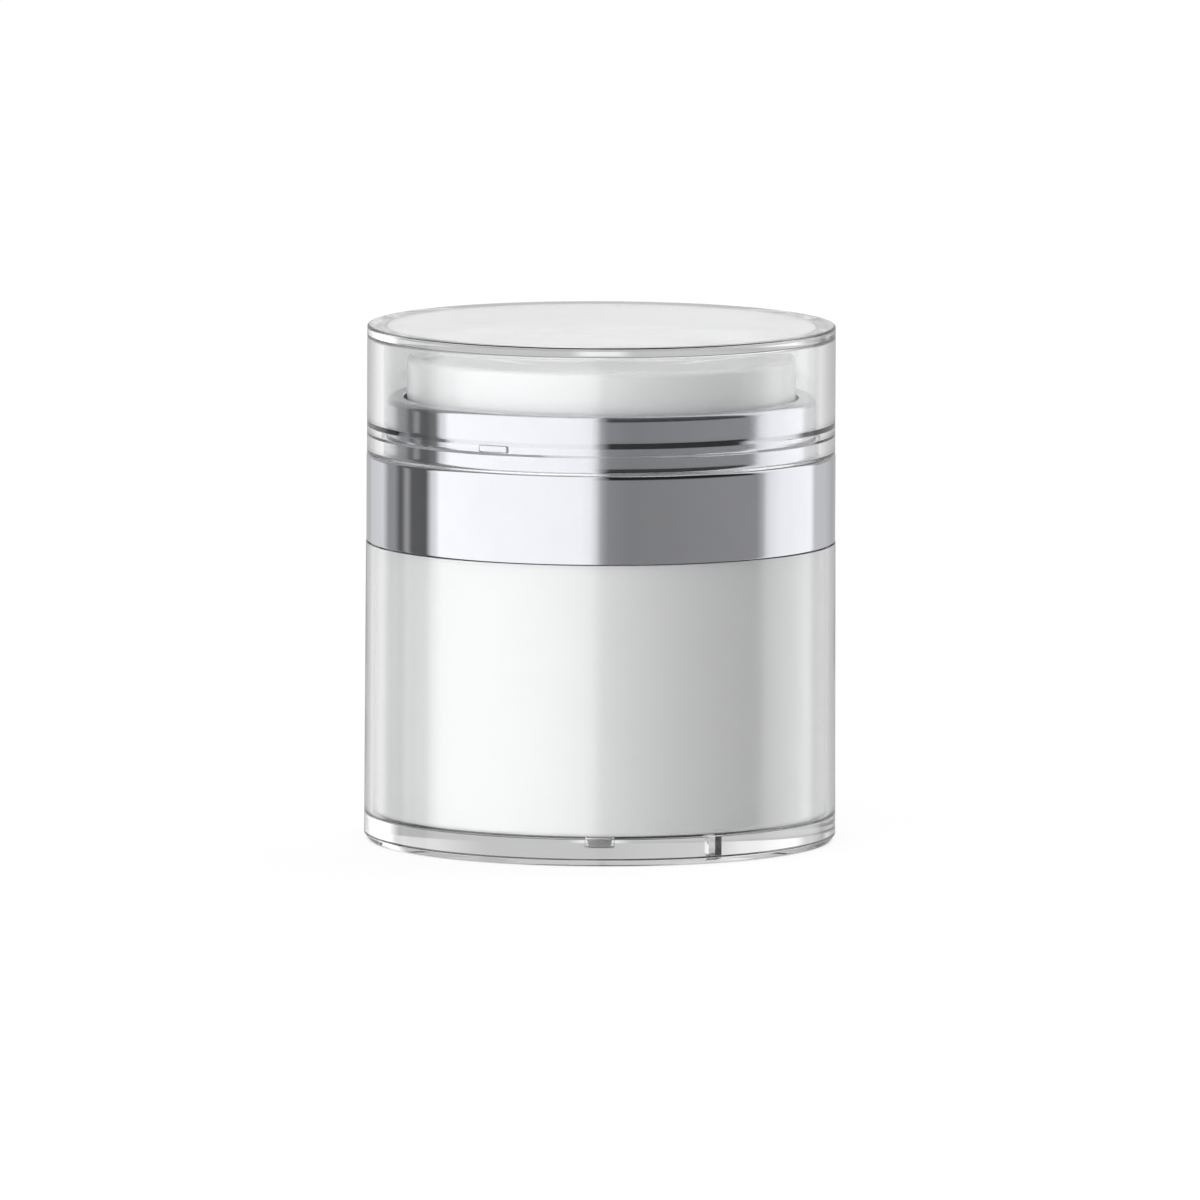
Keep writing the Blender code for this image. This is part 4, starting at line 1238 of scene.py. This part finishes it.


# Studio: white and grey sheets all round, an even ceiling, and a white floor with a painted shadow under the
# jar

studio = dict(
    # sheets on both sides of the camera: (degrees from it, brightness there)
    left=[
        (-180, 0.52), (-160, 0.60), (-154, 0.82), (-136, 1.0), (-129, 0.44), (-122.5, 0.44),
        (-117.6, 0.17), (-115.5, 0.17), (-112, 0.48), (-110.4, 0.48), (-107, 0.17), (-96, 0.16),
        (-92, 1.06), (-89.5, 1.18), (-86.5, 1.66), (-10, 1.51), (-5, 1.40), (-2.2, 1.06), (0, 0.62),
    ],
    right=[
        (0, 0.62), (1.7, 0.49), (3.7, 0.39), (15, 0.34), (83, 0.41), (87, 0.65), (89.8, 1.08),
        (92.6, 1.24), (100, 1.41), (125, 1.51), (127, 1.42), (131.2, 0.84), (145, 0.77),
        (160, 0.52), (180, 0.52),
    ],
    leftHigh=[
        (-180, 0.88), (-177.5, 0.88), (-175, 0.52), (-137, 0.52), (-129, 0.44), (-122.5, 0.44),
        (-117.6, 0.17), (-107, 0.17), (-96, 0.16), (-92, 1.06), (-86.5, 1.66), (-10, 1.51),
        (-5, 1.40), (0, 0.5),
    ],
    rightHigh=[
        (0, 0.5), (5, 0.03), (80, 0.02), (89.8, 1.08), (100, 1.41), (125, 1.51), (133, 0.52),
        (175, 0.52), (177.5, 0.88), (180, 0.88),
    ],
    # what matt surfaces are lit by: the sheets as a diffuser spreads them
    softLeft=[
        (-180, 1.5), (-150, 0.9), (-120, 0.5), (-100, 0.4), (-75, 1.0), (-60, 1.7), (-45, 2.15),
        (-30, 2.4), (-15, 2.3), (0, 1.7),
    ],
    softRight=[
        (0, 1.7), (15, 0.8), (30, 0.3), (45, 0.05), (60, 0.02), (75, 0.2), (90, 1.1), (105, 2.1),
        (125, 2.4), (150, 1.9), (180, 1.5),
    ],
    highFrom=-3.0,  # elevation where the sheets' upper part starts, in degrees
    highTo=2.0,
    most=2.5,  # ramps hold brightness as a share of this
    floorGlow=0.9,
    floorThroughWalls=0.62,  # painted shade: the floor's glow seen through clear walls is dimmed to this share
    floorColor=0.1,
    floorRings=(60, 150, 400, 1000, 2500),
    floorSteps=96,
    floorDrop=0.05,
    shadeFrom=29.0,  # painted shadow: the floor's glow stops under the jar, within this radius
    shadeTo=31.0,
    paperSize=3.0,
    paperContrast=0.02,
)
anyBounce = 0.5  # a count of bounces above this is one or more


def sheetRamp(tree, share, sheets):
    # The ramp's own two stops are its ends, and the others go in between.
    ramp = node(tree, "ValToRGB", links={"Fac": share})
    first, last = sheets[0][0], sheets[-1][0]
    elements = ramp.color_ramp.elements
    for turned, light in sheets[1:-1]:
        elements.new((turned - first) / (last - first))
    for element, (turned, light) in zip(elements, sheets):
        element.color = (*[light / studio["most"]] * 3, 1)
    return ramp.outputs["Color"]


def seenAfterBounce(tree):
    # 1 for light that has been reflected or scattered, 0 for what is seen directly or only through
    # clear walls. Every bounce is counted, less those that only passed through a wall.
    path = node(tree, "LightPath")
    bounces = calculated(tree, "SUBTRACT", path.outputs["Ray Depth"], path.outputs["Transmission Depth"])
    return calculated(tree, "GREATER_THAN", bounces, anyBounce)


def makeWorld():
    world = bpy.data.worlds.new("studio")
    bpy.context.scene.world = world
    world.use_nodes = True
    tree = world.node_tree
    direction = node(tree, "TexCoord").outputs["Generated"]
    split = node(tree, "SeparateXYZ", links={"Vector": direction})
    x, y, z = (split.outputs[axis] for axis in "XYZ")
    turned = calculated(tree, "ARCTAN2", x, calculated(tree, "MULTIPLY", y, -1.0))
    share = calculated(tree, "DIVIDE", turned, math.pi)
    leftShare = calculated(tree, "ADD", share, 1.0)
    edge = [math.sin(math.radians(studio[key])) for key in ("highFrom", "highTo")]
    high = ranged(tree, z, 0, 1, *edge)
    onRight = calculated(tree, "GREATER_THAN", x, 0.0)
    lower, upper, spread = (
        mixed(tree, onRight, sheetRamp(tree, leftShare, studio[left]), sheetRamp(tree, share, studio[right]))
        for left, right in (("left", "right"), ("leftHigh", "rightHigh"), ("softLeft", "softRight"))
    )
    mirrored = mixed(tree, high, lower, upper)
    scatters = node(tree, "LightPath").outputs["Diffuse Depth"]
    scattered = calculated(tree, "GREATER_THAN", scatters, anyBounce)
    lit = mixed(tree, scattered, mirrored, spread)
    shown = mixed(tree, seenAfterBounce(tree), 1 / studio["most"], lit)
    background = tree.nodes["Background"]
    background.inputs["Strength"].default_value = studio["most"]
    tree.links.new(shown, background.inputs["Color"])


def makeFloor():
    # A white sheet, a disc of rings turned round Z. Reflections look past it, at the studio, except
    # under the jar, where its glow stops: a painted shadow, a dark disc for all rays.
    steps = studio["floorSteps"]
    rings = studio["floorRings"]
    turn = np.linspace(0, math.tau, steps, endpoint=False)
    reach = np.array(rings, float)[:, None]
    z = -studio["floorDrop"]
    level = np.full((len(rings), steps), z)
    grid = np.stack([reach * np.cos(turn), reach * np.sin(turn), level], axis=-1)
    points = np.concatenate([grid.reshape(-1, 3), [[0, 0, z]]]) * mm
    ring = np.arange(steps)
    following = (ring + 1) % steps
    start = np.arange(len(rings) - 1)[:, None] * steps
    outer = start + steps
    quads = np.stack([start + ring, outer + ring, outer + following, start + following], axis=-1)
    fan = np.stack([np.full(steps, len(rings) * steps), ring, following], axis=-1)
    mesh = bpy.data.meshes.new("floor")
    mesh.from_pydata(points, [], quads.reshape(-1, 4).tolist() + fan.tolist())
    floor = added("floor", mesh)
    material = bpy.data.materials.new("whiteSheet")
    material.use_nodes = True
    material.cycles.emission_sampling = "NONE"
    tree = material.node_tree
    tree.nodes.remove(tree.nodes["Principled BSDF"])
    point = objectPoint(tree)
    flat = node(tree, "VectorMath", {"operation": "MULTIPLY"}, {1: (1, 1, 0)}, {0: point}).outputs["Vector"]
    distance = node(tree, "VectorMath", {"operation": "LENGTH"}, links={0: flat}).outputs["Value"]
    # 0 under the jar: there the glow stops, a painted shadow
    outside = ranged(tree, distance, 0, 1, studio["shadeFrom"] * mm, studio["shadeTo"] * mm)
    paper = noise(tree, point, studio["paperSize"], cloudy)
    tone, contrast = studio["floorColor"], studio["paperContrast"]
    paperColor = mixed(tree, paper, tone * (1 - contrast), tone * (1 + contrast))
    matte = node(tree, "BsdfDiffuse", links={"Color": paperColor})
    walls = node(tree, "LightPath").outputs["Transmission Depth"]
    glow = studio["floorGlow"]
    # painted shade: the glow is dimmer where it is seen through clear walls
    dimmed = ranged(tree, walls, glow, glow * studio["floorThroughWalls"], 0, 1)
    strength = calculated(tree, "MULTIPLY", outside, dimmed)
    glowing = node(tree, "Emission", links={"Strength": strength})
    lit = node(tree, "AddShader", links={0: matte.outputs[0], 1: glowing.outputs[0]})
    passed = node(tree, "BsdfTransparent")
    lookPast = calculated(tree, "MULTIPLY", outside, seenAfterBounce(tree))
    shaders = {"Fac": lookPast, 1: lit.outputs[0], 2: passed.outputs[0]}
    both = node(tree, "MixShader", links=shaders)
    tree.links.new(both.outputs[0], tree.nodes["Material Output"].inputs["Surface"])
    mesh.materials.append(material)
    floor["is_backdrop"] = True


photoView = dict(
    distance=3.0,  # this and the clipping are in m
    elevation=6.5,
    aimHeight=31.65,
    aimRight=-0.07,
    roll=0.22,
    lens=680.4,
    sensor=36.0,
    near=0.1,
    far=50.0,
)
lightBounces = dict(max_bounces=24, transmission_bounces=20, glossy_bounces=8, transparent_max_bounces=24)


def makeCamera():
    camera = bpy.data.cameras.new("photoCamera")
    camera.lens = photoView["lens"]
    camera.sensor_width = photoView["sensor"]
    camera.clip_start = photoView["near"]
    camera.clip_end = photoView["far"]
    holder = added("photoCamera", camera)
    rise = math.radians(photoView["elevation"])
    back = Vector((0, -math.cos(rise), math.sin(rise)))
    aim = Vector((photoView["aimRight"] * mm, 0, photoView["aimHeight"] * mm))
    turn = (-back).to_track_quat("-Z", "Y").to_matrix()
    roll = Matrix.Rotation(math.radians(photoView["roll"]), 3, "Z")
    holder.matrix_world = Matrix.Translation(aim + back * photoView["distance"]) @ (turn @ roll).to_4x4()
    bpy.context.scene.camera = holder


makeWorld()
makeFloor()
makeCamera()
scene = bpy.context.scene
scene.view_settings.view_transform = "Standard"
for key, count in lightBounces.items():
    setattr(scene.cycles, key, count)
print("studio and camera set")

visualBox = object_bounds()
for name, box in (("cad", cadBox), ("visual", visualBox)):
    print(name, "box", [[round(v / mm, 2) for v in corner] for corner in box])
